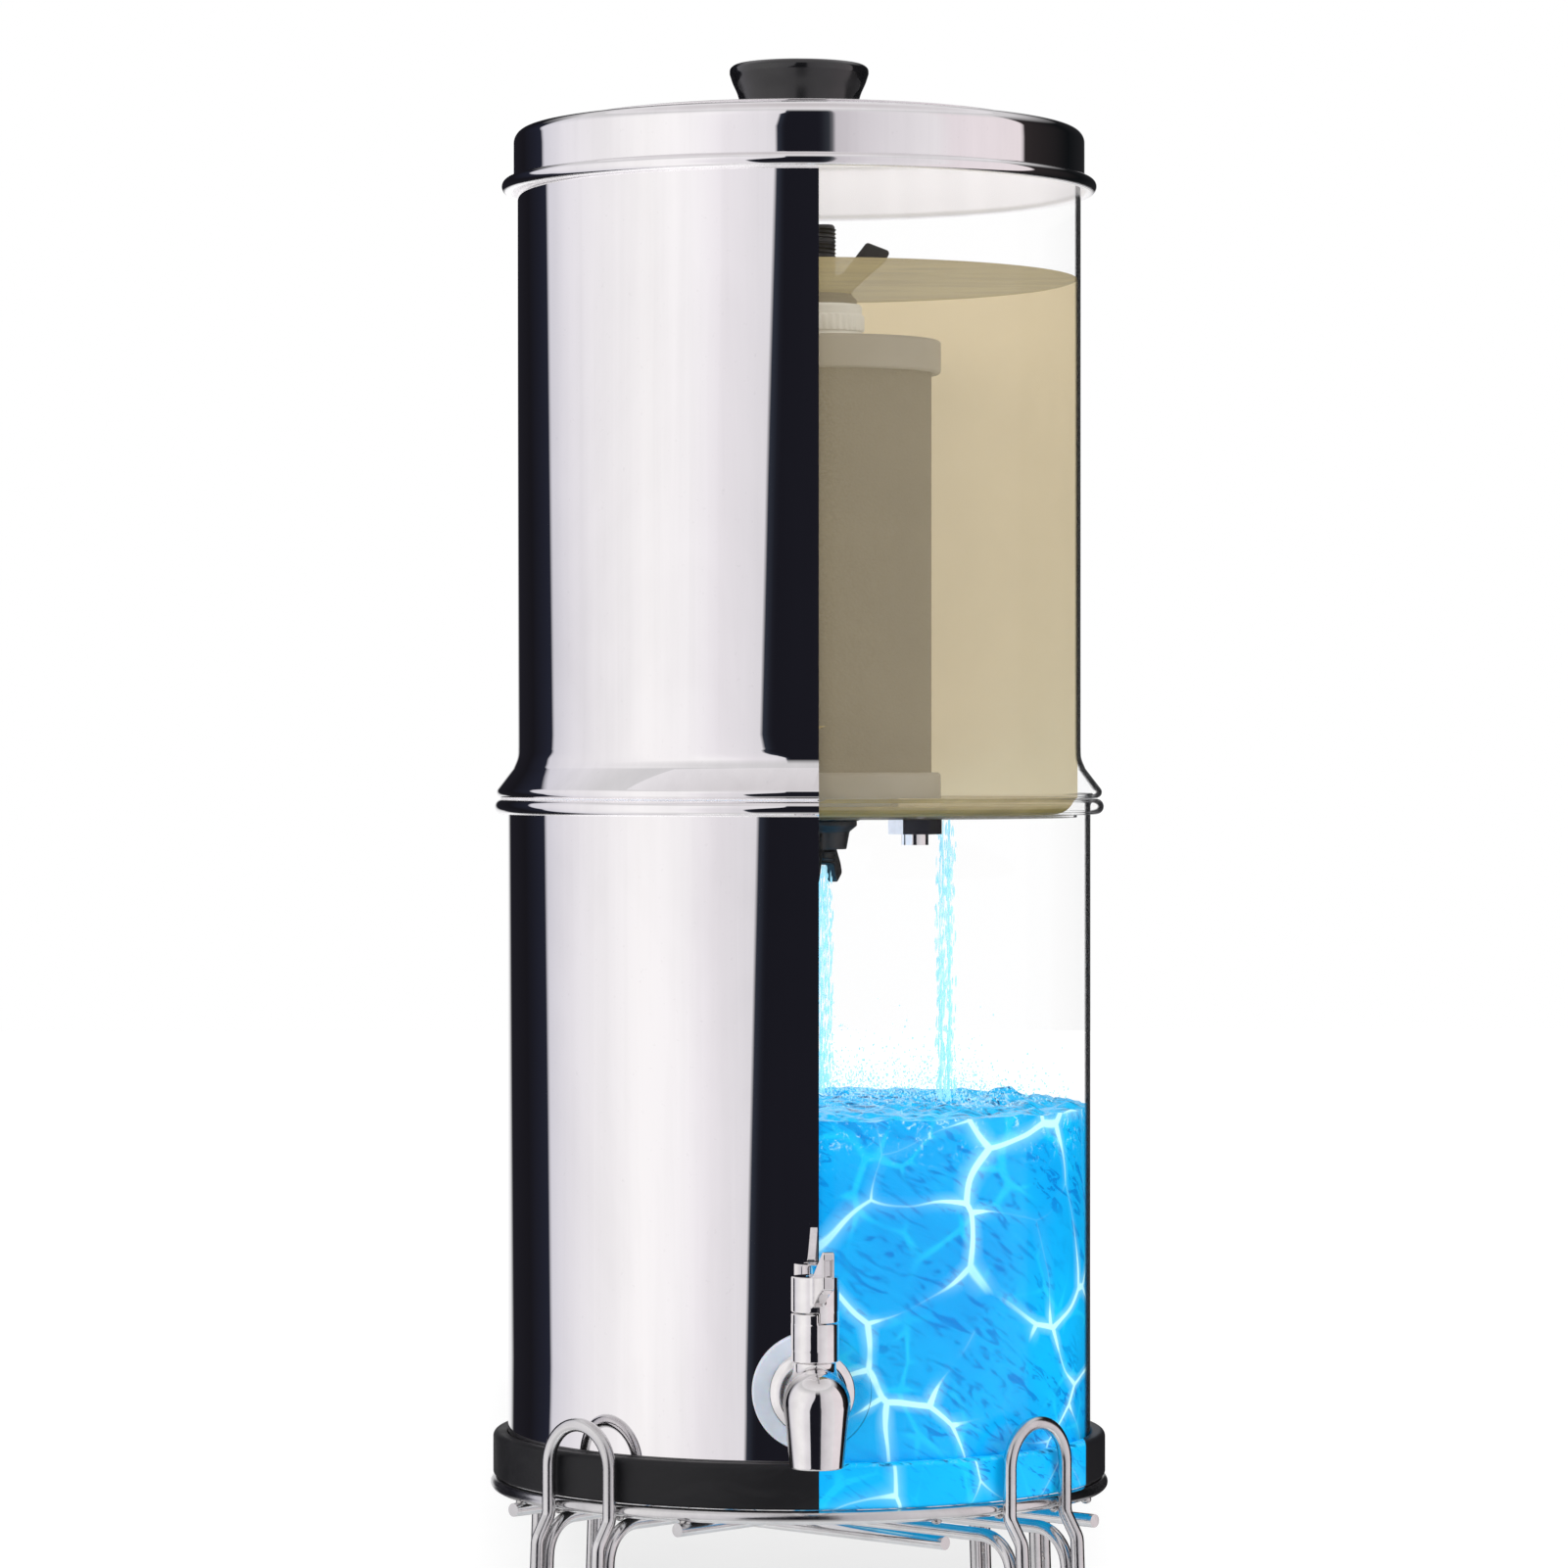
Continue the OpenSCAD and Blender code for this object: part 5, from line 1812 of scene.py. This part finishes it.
@dataclass
class Stand(Assembly):
    """The wire stand: a hoop, four bent leg loops, crossing support wires, grid bars, welds and foot sleeves."""

    half_pitch: float = 15.5
    loop_r: float = 118.188
    leg_r: float = 123.988
    foot_out: float = 129.782
    arch_z: float = 172.0
    jog_top: float = 153.7
    jog_end: float = 144.7
    foot_z: float = 4.0
    foot_r: float = 4.6
    support_low: float = 24.0
    splay: float = math.tan(math.radians(2.5))
    bar_offset: float = 42.0
    grid_step: float = 5.1
    bend: float = 14.0

    def turned(self, leg: int, points: Iterable[Sequence[float]]) -> list[np.ndarray]:
        """Turns points of a leg's own frame to that leg's diagonal.

        Args:
            leg: The leg's number.
            points: Points of the leg's own frame.

        Returns:
            The turned points.
        """
        a = math.radians(225 + 90 * leg)
        spin = np.array([[math.cos(a), -math.sin(a), 0], [math.sin(a), math.cos(a), 0], [0, 0, 1]])
        return [spin @ np.array(q, float) for q in points]

    def leg_path(self, leg: int) -> list[np.ndarray]:
        """Draws the closed path of one leg loop.

        Args:
            leg: The leg's number.

        Returns:
            The path's points.
        """
        hp = self.half_pitch
        side = [(self.loop_r, self.jog_top), (self.leg_r, self.jog_end), (self.foot_out, self.foot_z)]
        run = [(r, -hp, z) for r, z in side] + [(r, hp, z) for r, z in reversed(side)]
        arch = [(self.loop_r, hp * math.cos(t), self.arch_z + hp * math.sin(t)) for t in np.linspace(0, math.pi, 33)]
        corners = bend_corners([arch[-1]] + run + [arch[0]], [0, 6, 6, 8, 8, 6, 6, 0])
        return self.turned(leg, corners[1:-1] + arch)

    def wire_level(self, diagonal: int) -> float:
        """Returns: height of the wires and bars along a diagonal."""
        return DATUM.hoop_z - self.grid_step * (diagonal + 1)

    def support_path(self, diagonal: int, side: int) -> list[np.ndarray]:
        """Draws one crossing wire, bent down beside two legs.

        Args:
            diagonal: Which diagonal it runs along, 0 or 1.
            side: Which side of the diagonal, -1 or 1.

        Returns:
            The path's points.
        """
        z, y = self.wire_level(diagonal), side * self.half_pitch
        at_bend = self.leg_r - 5.3 + (self.jog_end - z + self.bend) * self.splay
        half = [(at_bend + (z - self.bend - self.support_low) * self.splay, y, self.support_low),
                (at_bend - self.bend * self.splay, y, z)]
        path = half + [(-r, y, h) for r, _, h in reversed(half)]
        return self.turned(diagonal, bend_corners(path, [0, self.bend, self.bend, 0]))

    def bar_path(self, diagonal: int, side: int) -> list[np.ndarray]:
        """Draws one straight bar.

        Args:
            diagonal: Which diagonal it runs along, 0 or 1.
            side: Which side of the diagonal, -1 or 1.

        Returns:
            Its two ends.
        """
        reach = math.sqrt((DATUM.hoop_r + DATUM.wire_r + 1.5) ** 2 - self.bar_offset ** 2)
        return self.turned(diagonal, [(way * reach, side * self.bar_offset, self.wire_level(diagonal))
                                      for way in (-1, 1)])

    def weld_points(self) -> list[np.ndarray]:
        """Returns: the middles of the welds between touching wires."""
        d, pair = DATUM, (self.half_pitch, self.bar_offset)
        points = []
        for diagonal, side, offset in product((0, 1), (-1, 1), pair):
            reach = math.sqrt(d.hoop_r ** 2 - offset ** 2)
            z = d.hoop_z - (2.55, 2.6)[diagonal]
            points += self.turned(diagonal, [(t * reach, side * offset, z) for t in (-1, 1)])
        points += self.turned(0, [(a * u, b * v, d.hoop_z - 1.5 * self.grid_step)
                                  for a, b, u, v in product((-1, 1), (-1, 1), pair, pair)])
        for leg, side in product(range(4), (-1, 1)):
            points += self.turned(leg, [(self.loop_r - 2.0, side * (self.half_pitch - 0.4), d.hoop_z)])
            for z in (118.0, 62.0):
                r = self.leg_r - 2.6 + (self.jog_end - z) * self.splay
                points += self.turned(leg, [(r, side * self.half_pitch, h) for h in (z, z - 1.6)])
        return points

    def sleeve(self, leg: int) -> Piece:
        """Makes one rubber foot sleeve, flat where it stands.

        Args:
            leg: The leg's number.

        Returns:
            The sleeve.
        """
        half, r, e, groove = 6.95, self.foot_r, 0.9, self.foot_r - 0.35
        ribs = [(r, -4.2), (groove, -3.9), (groove, -3.1), (r, -2.8), (r, 2.8), (groove, 3.1), (groove, 3.9), (r, 4.2)]
        outline = ([(2.56, -half)] + arc((r - e, -half + e), e, -90, 0, 6) + ribs
                   + arc((r - e, half - e), e, 0, 90, 6) + [(2.56, half)])

        def lay(points: np.ndarray) -> np.ndarray:
            """Lays the corners along the foot and presses them flat at the floor.

            Args:
                points: Corners in millimetres, one a row.

            Returns:
                The new corners.
            """
            local = np.stack([points[:, 0] + self.foot_out, points[:, 2],
                              np.maximum(points[:, 1] + self.foot_z, 0.0)], 1)
            return np.array(self.turned(leg, local))

        return revolve(f"foot_sleeve_{leg + 1}", outline, segments=64, shape=lay)

    def build(self) -> None:
        """Makes and places the stand's pieces."""
        legs = ["front_left", "front_right", "rear_right", "rear_left"]
        hoop = [(DATUM.hoop_r * math.cos(t), DATUM.hoop_r * math.sin(t), DATUM.hoop_z)
                for t in np.linspace(0, FULL_TURN, 192, endpoint=False)]
        paths = [(hoop, True)] + [(self.leg_path(i), True) for i in range(4)]
        paths += [(path(i, s), False) for path, i, s in product((self.support_path, self.bar_path), (0, 1), (-1, 1))]
        wires = sweep_tree().grow("stand_wirework", curve_data("stand_paths", paths), self.finishes["steel"],
                                  Wire_Radius=DATUM.wire_r * MM, Sides=28)
        self.add(wires, "stand", "steel", "stand_hoop", "support_wires_upper", "support_wires_lower",
                 "grid_bars_upper", "grid_bars_lower", *(f"leg_loop_{name}" for name in legs))
        welds = scatter_tree().grow("stand_welds", point_mesh("weld_points", self.weld_points()),
                                    self.finishes["weld"], Lump_Radius=1.9 * MM, Least_Scale=(0.8, 0.8, 0.55),
                                    Most_Scale=(1.15, 1.15, 0.85), Seed=11, Detail=3)
        self.add(welds, "stand", "steel", finish="weld")
        for i, name in enumerate(legs):
            self.add(self.sleeve(i), "stand", "black_rubber", f"foot_{name}")


@dataclass
class FilterElement(Assembly):
    """One filter element: two caps, a porous block, a threaded stem, a white spacer and its gaskets."""

    number: int
    outer_r: float = 45.525
    block_r: float = 41.925
    bore_r: float = 5.1
    height: float = 180.0
    cap_h: float = 13.0
    gasket_h: float = 3.0
    thread_depth: float = 0.62
    thread_pitch: float = 1.5

    def turn(self, name: str, outline: Sequence[Point], segments: int, depth: Bend | None = None) -> Piece:
        """Turns an outline about the element's axis.

        Args:
            name: Piece name.
            outline: Its section, heights from the vessel's floor.
            segments: Number of steps round.
            depth: How far each corner sinks towards the axis, in millimetres, given rows of corners.

        Returns:
            The new object.
        """
        x, y = DATUM.hole(self.number)

        def sink(points: np.ndarray) -> np.ndarray:
            """Moves the corners towards the axis.

            Args:
                points: Corners in millimetres, one a row.

            Returns:
                The new corners.
            """
            out = np.hypot(points[:, 0] - x, points[:, 1] - y)
            points[:, :2] -= (points[:, :2] - (x, y)) / out[:, None] * depth(points)[:, None]
            return points

        return revolve(name, [(r, z + DATUM.floor_z) for r, z in outline], (x, y), segments, depth and sink)

    def cap(self, name: str, top: bool) -> Piece:
        """Makes an end cap with eased edges, its recess over the block.

        Args:
            name: The piece's name.
            top: Whether it is the upper cap.

        Returns:
            The cap.
        """
        r, h, rim = self.outer_r, self.cap_h, self.block_r + 0.1
        outline = ([(self.bore_r, 0.0), (17.5, 0.0), (18.3, 0.5), (19.4, 0.5), (20.2, 0.0), (r - 1.4, 0.0)]
                   + arc((r - 1.4, 1.4), 1.4, -90, 0, 6)[1:] + arc((r - 1.6, h - 1.6), 1.6, 0, 80, 6)
                   + [(self.block_r + 0.7, h - 0.2), (rim, h - 0.7), (rim, 4.0), (self.bore_r, 4.0)])
        return self.turn(name, [(a, self.gasket_h + (self.height - z if top else z)) for a, z in outline], 160)

    def block(self, name: str) -> Piece:
        """Makes the porous block, its skin finely uneven.

        Args:
            name: The piece's name.

        Returns:
            The block.
        """
        low, high, rows = 7.0, self.gasket_h + self.height - 4.0, 150
        skin = [(self.block_r, low + (high - low) * i / rows) for i in range(rows + 1)]
        x, y = DATUM.hole(self.number)

        def grain(points: np.ndarray) -> np.ndarray:
            """Roughens the skin by up to a fifth of a millimetre.

            Args:
                points: Corners in millimetres, one a row.

            Returns:
                Depths in millimetres.
            """
            out = np.hypot(points[:, 0] - x, points[:, 1] - y)
            fine = np.random.default_rng(5 + self.number).random(len(points))
            wave = 0.5 + 0.5 * np.sin(points[:, 0] * 1.7 + 2.1 * np.sin(points[:, 2] * 1.3) + points[:, 1] * 1.9)
            return np.where(out > self.block_r - 1, 0.10 * fine + 0.10 * wave, 0.0)

        return self.turn(name, [(12.0, low)] + skin + [(12.0, high)], 224, grain)

    def stem(self, name: str) -> Piece:
        """Makes the stem's plain core, narrower where it is threaded.

        Args:
            name: The piece's name.

        Returns:
            The core.
        """
        r, root = DATUM.stem_r, DATUM.stem_r - self.thread_depth
        return self.turn(name, [
            (3.0, -19.8), (root - 0.4, -19.8), (root, -19.2), (root, 4.0), (r, 4.6), (r, 182.0), (root, 182.6),
            (root, 227.2), (root - 0.6, 228.0), (0.0, 228.0), (0.0, 183.0), (3.0, 183.0)], 48)

    def spacer(self, name: str) -> Piece:
        """Makes the white spacer, its collar finely ribbed for grip.

        Args:
            name: The piece's name.

        Returns:
            The spacer.
        """
        x, y = DATUM.hole(self.number)
        outline = [(self.bore_r, 0.0), (14.4, 0.0), (15.0, 0.6), (15.0, 3.2), (15.5, 3.5), (15.9, 4.0), (15.9, 9.2),
                   (15.5, 9.7), (15.0, 10.0), (15.0, 13.0), (14.0, 14.0), (self.bore_r, 14.0)]

        def ribs(points: np.ndarray) -> np.ndarray:
            """Sinks the skin between the collar's ribs.

            Args:
                points: Corners in millimetres, one a row.

            Returns:
                Depths in millimetres.
            """
            out = np.hypot(points[:, 0] - x, points[:, 1] - y)
            turn = np.arctan2(points[:, 1] - y, points[:, 0] - x)
            return np.where(out > 15.8, 0.35 * (0.5 - 0.5 * np.cos(36 * turn)), 0.0)

        return self.turn(name, [(r, z + self.gasket_h + self.height) for r, z in outline], 288, ribs)

    def gasket(self, name: str, low: float, high: float, radius: float) -> Piece:
        """Makes a rubber ring with eased edges.

        Args:
            name: The piece's name.
            low: Height of its foot.
            high: Height of its top.
            radius: Its outer radius.

        Returns:
            The ring.
        """
        e = 0.6
        return self.turn(name, [(self.bore_r, low)] + arc((radius - e, low + e), e, -90, 0, 5)
                         + arc((radius - e, high - e), e, 0, 90, 5) + [(self.bore_r, high)], 96)

    def build(self) -> None:
        """Makes and places the element's pieces."""
        node, body = "element_" + "ab"[self.number], "upper_vessel"
        self.add(self.cap(node + "_cap_low", False), body, "filter_cap", node + "_bottom_cap")
        self.add(self.cap(node + "_cap_high", True), body, "filter_cap", node + "_top_cap")
        self.add(self.block(node + "_porous"), body, "filter_block", node + "_block")
        self.add(self.stem(node + "_rod"), body, "dark_plastic", node + "_stem")
        tree, (x, y) = thread_tree(), DATUM.hole(self.number)
        ridges = [tree.grow(f"{node}_thread_{part}", point_mesh("thread_start", [(x, y, DATUM.floor_z + low)]),
                            self.finishes["dark_plastic"], Thread_Radius=(DATUM.stem_r - self.thread_depth) * MM,
                            Turns=height / self.thread_pitch, Height=height * MM, Ridge=0.56 * MM, Steps=26)
                  for part, low, height in (("lower", -19.4, 22.0), ("upper", 184.0, 43.2))]
        for ridge in ridges:
            self.add(ridge, body, "dark_plastic", node + "_stem")
        self.add(self.spacer(node + "_collar"), body, "white_plastic", node + "_spacer")
        for part, low, high, radius in (("high", 0.0, self.gasket_h, 16.0), ("low", -2.8, -0.8, 14.0)):
            self.add(self.gasket(f"{node}_seal_{part}", low, high, radius), body, "black_rubber", node + "_gaskets")


@dataclass
class FallingWater(Assembly):
    """Two broken streams, with drops thrown up where they land."""

    outlets: Point = (388.4, 406.5)
    width: float = 3.9
    threads: int = 7
    streaks: int = 420
    drops: int = 1300
    seed: int = 23

    def thread_paths(self, random: np.random.Generator, x: float, y: float,
                     outlet: float) -> list[tuple[list[Triple], bool]]:
        """Draws one stream's threads, each broken once.

        Args:
            random: Where its chances come from.
            x: Where it falls.
            y: Where it falls.
            outlet: Height that it falls from.

        Returns:
            Open paths.
        """
        made, steps = [], 80
        for _ in range(self.threads):
            height = np.linspace(outlet, DATUM.clean_level + 1.0, steps)
            sway = np.cumsum(random.normal(0, 0.09, (steps, 2)), axis=0)
            start = random.uniform(-0.6, 0.6, 2) * self.width
            cut = sorted(random.integers(0, steps, 2))
            path = [(x + start[0] + a, y + start[1] + b, h) for (a, b), h in zip(sway, height)]
            made += [(part, False) for part in (path[:cut[0]], path[cut[1]:]) if len(part) > 6]
        return made

    def build(self) -> None:
        """Makes and places the streams and the drops."""
        level, spray = DATUM.clean_level, self.finishes["spray"]
        random = np.random.default_rng(self.seed)
        threads, streaks, drops = [], [], []
        for (x, y), outlet in zip(DATUM.drips, self.outlets):
            threads += self.thread_paths(random, x, y, outlet)
            for _ in range(self.streaks):
                out, turn = self.width * math.sqrt(random.random()), random.uniform(0, FULL_TURN)
                high = random.uniform(level + 1, outlet - 2)
                streaks.append((x + out * math.cos(turn), y + out * math.sin(turn), high))
            for a, t, h in zip(random.gamma(1.8, 17.0, self.drops), random.uniform(0, FULL_TURN, self.drops),
                               random.gamma(1.3, 7.0, self.drops)):
                point = (x + a * math.cos(t), y + a * math.sin(t), level + 1.5 + h * math.exp(-a / 70))
                if math.hypot(*point[:2]) < 104 and h < 60:
                    drops.append(point)
        self.hang(sweep_tree().grow("falling_stream", curve_data("stream_paths", threads), spray,
                                    Wire_Radius=0.26 * MM, Sides=6))
        tree = scatter_tree()
        self.hang(tree.grow("falling_streaks", point_mesh("streak_points", streaks), spray, Lump_Radius=0.40 * MM,
                            Least_Scale=(0.5, 0.5, 2.0), Most_Scale=(1.0, 1.0, 7.0), Seed=3, Detail=1))
        thrown = tree.grow("thrown_drops", point_mesh("drop_points", drops), spray, Lump_Radius=0.42 * MM,
                           Least_Scale=(0.3, 0.3, 0.3), Most_Scale=(1.0, 1.0, 1.5), Seed=5, Detail=1)
        self.add(thrown, "lower_vessel", finish="spray")

    def hang(self, piece: Piece) -> None:
        """Bakes a piece's placement into its mesh, and leaves it on no body."""
        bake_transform(piece)


@dataclass
class CarriedParts(Assembly):
    """The parts whose CAD shape is shown as it is, each with its own finish."""

    def build(self) -> None:
        """Dresses every node by its slot."""
        for part in frame["record"]["subparts"]:
            dress(frame["nodes"][part["node"]], self.finishes[part["material_slot"]])


# ---------------------------------------------------------------- studio


@dataclass
class Studio:
    """Camera, soft light, a pale floor and the soft panels and dark gaps that a polished surface mirrors."""

    axis_distance: float = 2222.0
    axis_offset: float = 5.74
    eye_z: float = 430.3
    pitch: float = 0.2626
    focal: float = 134.9
    floor_reach: float = 7.0
    floor_colour: Colour = (0.8, 0.8, 0.8)
    matt_level: float = 0.62
    room_in: float = 0.2
    room_out: float = 2.0
    room_top: float = 2.8
    room_plain: Colour = (0.70, 0.69, 0.70)
    room: tuple[tuple[float, Colour], ...] = (
        (-180.0, (0.95, 0.95, 0.96)), (-173.0, (0.80, 0.80, 0.81)), (-166.0, (0.015, 0.0145, 0.020)),
        (-140.0, (0.010, 0.0095, 0.013)), (-120.6, (0.018, 0.020, 0.034)), (-119.0, (0.70, 0.69, 0.75)),
        (-103.0, (0.84, 0.82, 0.86)), (-88.0, (0.90, 0.88, 0.90)), (-62.0, (1.02, 1.0, 1.0)),
        (-44.0, (1.0, 0.98, 0.99)), (-33.0, (0.91, 0.88, 0.91)), (-30.0, (0.87, 0.84, 0.87)),
        (-12.3, (0.79, 0.77, 0.80)), (-11.3, (0.03, 0.035, 0.05)), (-8.0, (0.0105, 0.0105, 0.0155)),
        (8.0, (0.0115, 0.0115, 0.017)), (12.4, (0.04, 0.045, 0.055)), (13.8, (0.60, 0.57, 0.60)),
        (30.0, (0.74, 0.71, 0.74)), (55.0, (0.86, 0.83, 0.85)), (62.0, (0.87, 0.80, 0.83)),
        (98.0, (0.88, 0.80, 0.82)), (99.5, (0.03, 0.025, 0.026)), (135.0, (0.006, 0.007, 0.008)),
        (166.0, (0.02, 0.02, 0.022)), (173.0, (0.80, 0.80, 0.81)), (180.0, (0.95, 0.95, 0.96)),
    )
    room_middle: float = -66.7
    room_narrowing: float = 0.27
    ceiling: tuple[Colour, Colour] = ((0.60, 0.57, 0.58), (0.86, 0.84, 0.86))

    def camera(self) -> None:
        """Places the camera at its viewing angle."""
        right = DATUM.cut_normal()
        ahead = Vector((-right.y, right.x, 0.0))
        data = bpy.data.cameras.new("camera")
        data.lens, data.sensor_width = self.focal, 36.0
        data.clip_start, data.clip_end = 0.05, 60.0
        made = link_object("camera", data)
        made.location = (-ahead * self.axis_distance - right * self.axis_offset) * MM + Vector((0, 0, self.eye_z * MM))
        down = math.tan(math.radians(self.pitch))
        made.rotation_euler = (ahead - Vector((0, 0, down))).to_track_quat("-Z", "Y").to_euler()
        bpy.context.scene.camera = made

    def world(self) -> None:
        """Lights the scene from all round, and shows white behind it."""
        s = Sketch("studio", world=True)
        strength = s.spread(s.seen(), self.matt_level, 1.0, 0.0, 1.0)
        bpy.context.scene.world = s.surface(
            s.node("Background", {"Color": rgba(WHITE), "Strength": strength}).outputs[0])

    def turned(self, s: Sketch, degrees: float) -> bpy.types.bpy_prop_collection:
        """Returns: object coordinates turned anticlockwise, split."""
        turn = (0, 0, math.radians(degrees))
        return s.split(s.node("Mapping", {"Vector": s.coords(), "Rotation": turn}).outputs[0])

    def square(self, name: str, reach: float, height: float, up: bool = True) -> Piece:
        """Returns: a level square about the axis, sizes in metres, that faces up or down."""
        corners = [(x * reach, y * reach, height) for x, y in ((-1, -1), (1, -1), (1, 1), (-1, 1))]
        return mesh_object(name, corners, [(0, 1, 2, 3) if up else (3, 2, 1, 0)])

    def stage(self, piece: Piece, s: Sketch, shader: Socket, mirrored_only: bool = True) -> None:
        """Dresses a studio piece, and says that it isn't part of the object.

        Args:
            piece: The piece.
            s: Its material's sketch.
            shader: Its surface shader.
            mirrored_only: Whether it shows in reflections alone.
        """
        dress(piece, s.surface(shader))
        if mirrored_only:
            piece.visible_camera = piece.visible_diffuse = piece.visible_shadow = False
            piece.visible_transmission = piece.visible_volume_scatter = False
        piece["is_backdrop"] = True

    def floor(self) -> None:
        """Lays a wide pale floor that keeps the object's shadow, with a painted shadow strip behind the object."""
        s = Sketch("studio_floor")
        tone = s.drift(s.cloud(30), self.floor_colour, 0.99)
        matt = s.node("BsdfDiffuse", {"Color": tone}).outputs[0]
        away = s.vector("LENGTH", {0: s.coords()})["Value"]
        # The floor's glow is low near the object and in a strip through it along the view; that strip is a painted
        # shadow.
        side = s.math("ABSOLUTE", self.turned(s, DATUM.view_turn)[0])
        far = s.math("MAXIMUM", s.spread(away, 0.10, 0.62, 0.8, 2.7), s.spread(side, 0.0, 0.62, 0.04, 0.30))
        lit = s.node("AddShader", {0: matt, 1: s.glow(WHITE, far)}).outputs[0]
        self.stage(self.square("floor", self.floor_reach, 0.0), s, s.join(s.seen(), matt, lit), mirrored_only=False)

    def room_turn(self, s: Sketch, where: bpy.types.bpy_prop_collection) -> Socket:
        """Finds the way round the room, the panels' edges drawn together with height as the chambers taper.

        Args:
            s: The tree being drawn.
            where: Turned object coordinates.

        Returns:
            The angle.
        """
        turn = s.math("ARCTAN2", where[1], where[0])
        narrow = s.spread(where[2], 0.66 * self.room_narrowing, -0.64 * self.room_narrowing, 0.0, 1.3)
        from_middle = s.math("ADD", turn, math.radians(-self.room_middle))
        left = s.spread(turn, 1.0, 0.0, math.radians(-9), 0.0)
        return s.math("ADD", turn, s.math("MULTIPLY", s.math("MULTIPLY", narrow, from_middle), left))

    def surround(self) -> None:
        """Stands a drum with a floor ring and a ceiling round the object: soft white panels with dark gaps."""
        s = Sketch("reflected_room")
        where = self.turned(s, 90 + DATUM.view_turn)
        ramp = s.node("ValToRGB", {0: s.spread(self.room_turn(s, where), 0.0, 1.0, -math.pi, math.pi)})
        stops = ramp.color_ramp.elements
        while len(stops) > 1:
            stops.remove(stops[-1])
        for i, (angle, colour) in enumerate(self.room):
            at = (angle + 180) / 360
            stop = stops.new(at) if i else stops[0]
            stop.position, stop.color = at, rgba(colour)
        inner = s.vector("LENGTH", {0: s.coords((1, 1, 0))})["Value"]
        plain = s.math("MAXIMUM", s.spread(where[2], 0.0, 1.0, 1.6, 2.4),
                       s.spread(inner, 1.0, 0.0, self.room_in, self.room_in + 0.3))
        tone = s.blend(plain, ramp.outputs[0], self.room_plain)
        n = 120
        rings = [(self.room_in, 0.004), (self.room_out, 0.004), (self.room_out, self.room_top)]
        points = [(r * math.cos(t), r * math.sin(t), z) for r, z in rings
                  for t in np.linspace(0, FULL_TURN, n, endpoint=False)]
        faces = [(k * n + i, k * n + (i + 1) % n, (k + 1) * n + (i + 1) % n, (k + 1) * n + i)
                 for k in range(2) for i in range(n)]
        self.stage(mesh_object("reflected_room", points, faces), s, s.glow(tone))
        s = Sketch("reflected_ceiling")
        away = s.vector("LENGTH", {0: s.coords((1, 1, 0))})["Value"]
        tone = s.blend(s.spread(away, 0.0, 1.0, 0.2, 2.2), *self.ceiling)
        ceiling = self.square("reflected_ceiling", self.room_out * 1.3, self.room_top + 0.2, up=False)
        self.stage(ceiling, s, s.glow(tone))

    def lamp(self, name: str, place: Triple, size: float, watts: float = 30) -> None:
        """Hangs a soft square lamp that faces the object.

        Args:
            name: Lamp name.
            place: Where it hangs, in metres.
            size: Side in metres.
            watts: Power.
        """
        data = bpy.data.lights.new(name, "AREA")
        data.shape, data.size, data.energy = "SQUARE", size, watts
        made = link_object(name, data)
        made.location = place
        made.rotation_euler = (Vector((0, 0, 0.35)) - Vector(place)).to_track_quat("-Z", "Y").to_euler()
        made.visible_glossy = False

    def build(self) -> None:
        """Sets the whole studio up."""
        self.camera()
        self.world()
        self.floor()
        self.surround()
        self.lamp("lamp_left", (-1.7, -1.5, 2.0), 1.6)
        self.lamp("lamp_right", (1.9, -1.2, 1.6), 1.4)
        bpy.context.scene.view_settings.view_transform = "Standard"


def main() -> None:
    """Builds every sub-assembly in order and reports its pieces."""
    logging.basicConfig(level=logging.INFO, format="%(name)s: %(message)s")
    common = (build_finishes(), Display.CUTAWAY)
    Studio().build()
    parts: list[Assembly] = [kind(*common) for kind in (
        CarriedParts, LowerChamber, UpperChamber, FloorPan, BaseRing, Lid, Tap, Stand)]
    parts += [FilterElement(*common, number) for number in (0, 1)]
    parts += [WingNut(*common, number, upper) for number, upper in product((0, 1), (True, False))]
    parts += [kind(*common) for kind in (RawWater, CleanWater, FallingWater)]
    for part in parts:
        before = {o.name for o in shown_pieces()}
        part.build()
        added = sorted({o.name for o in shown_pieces()} - before)
        LOG.info("%s: %s", type(part).__name__, ", ".join(added) or "no new piece")


if __name__ == "__main__":
    main()
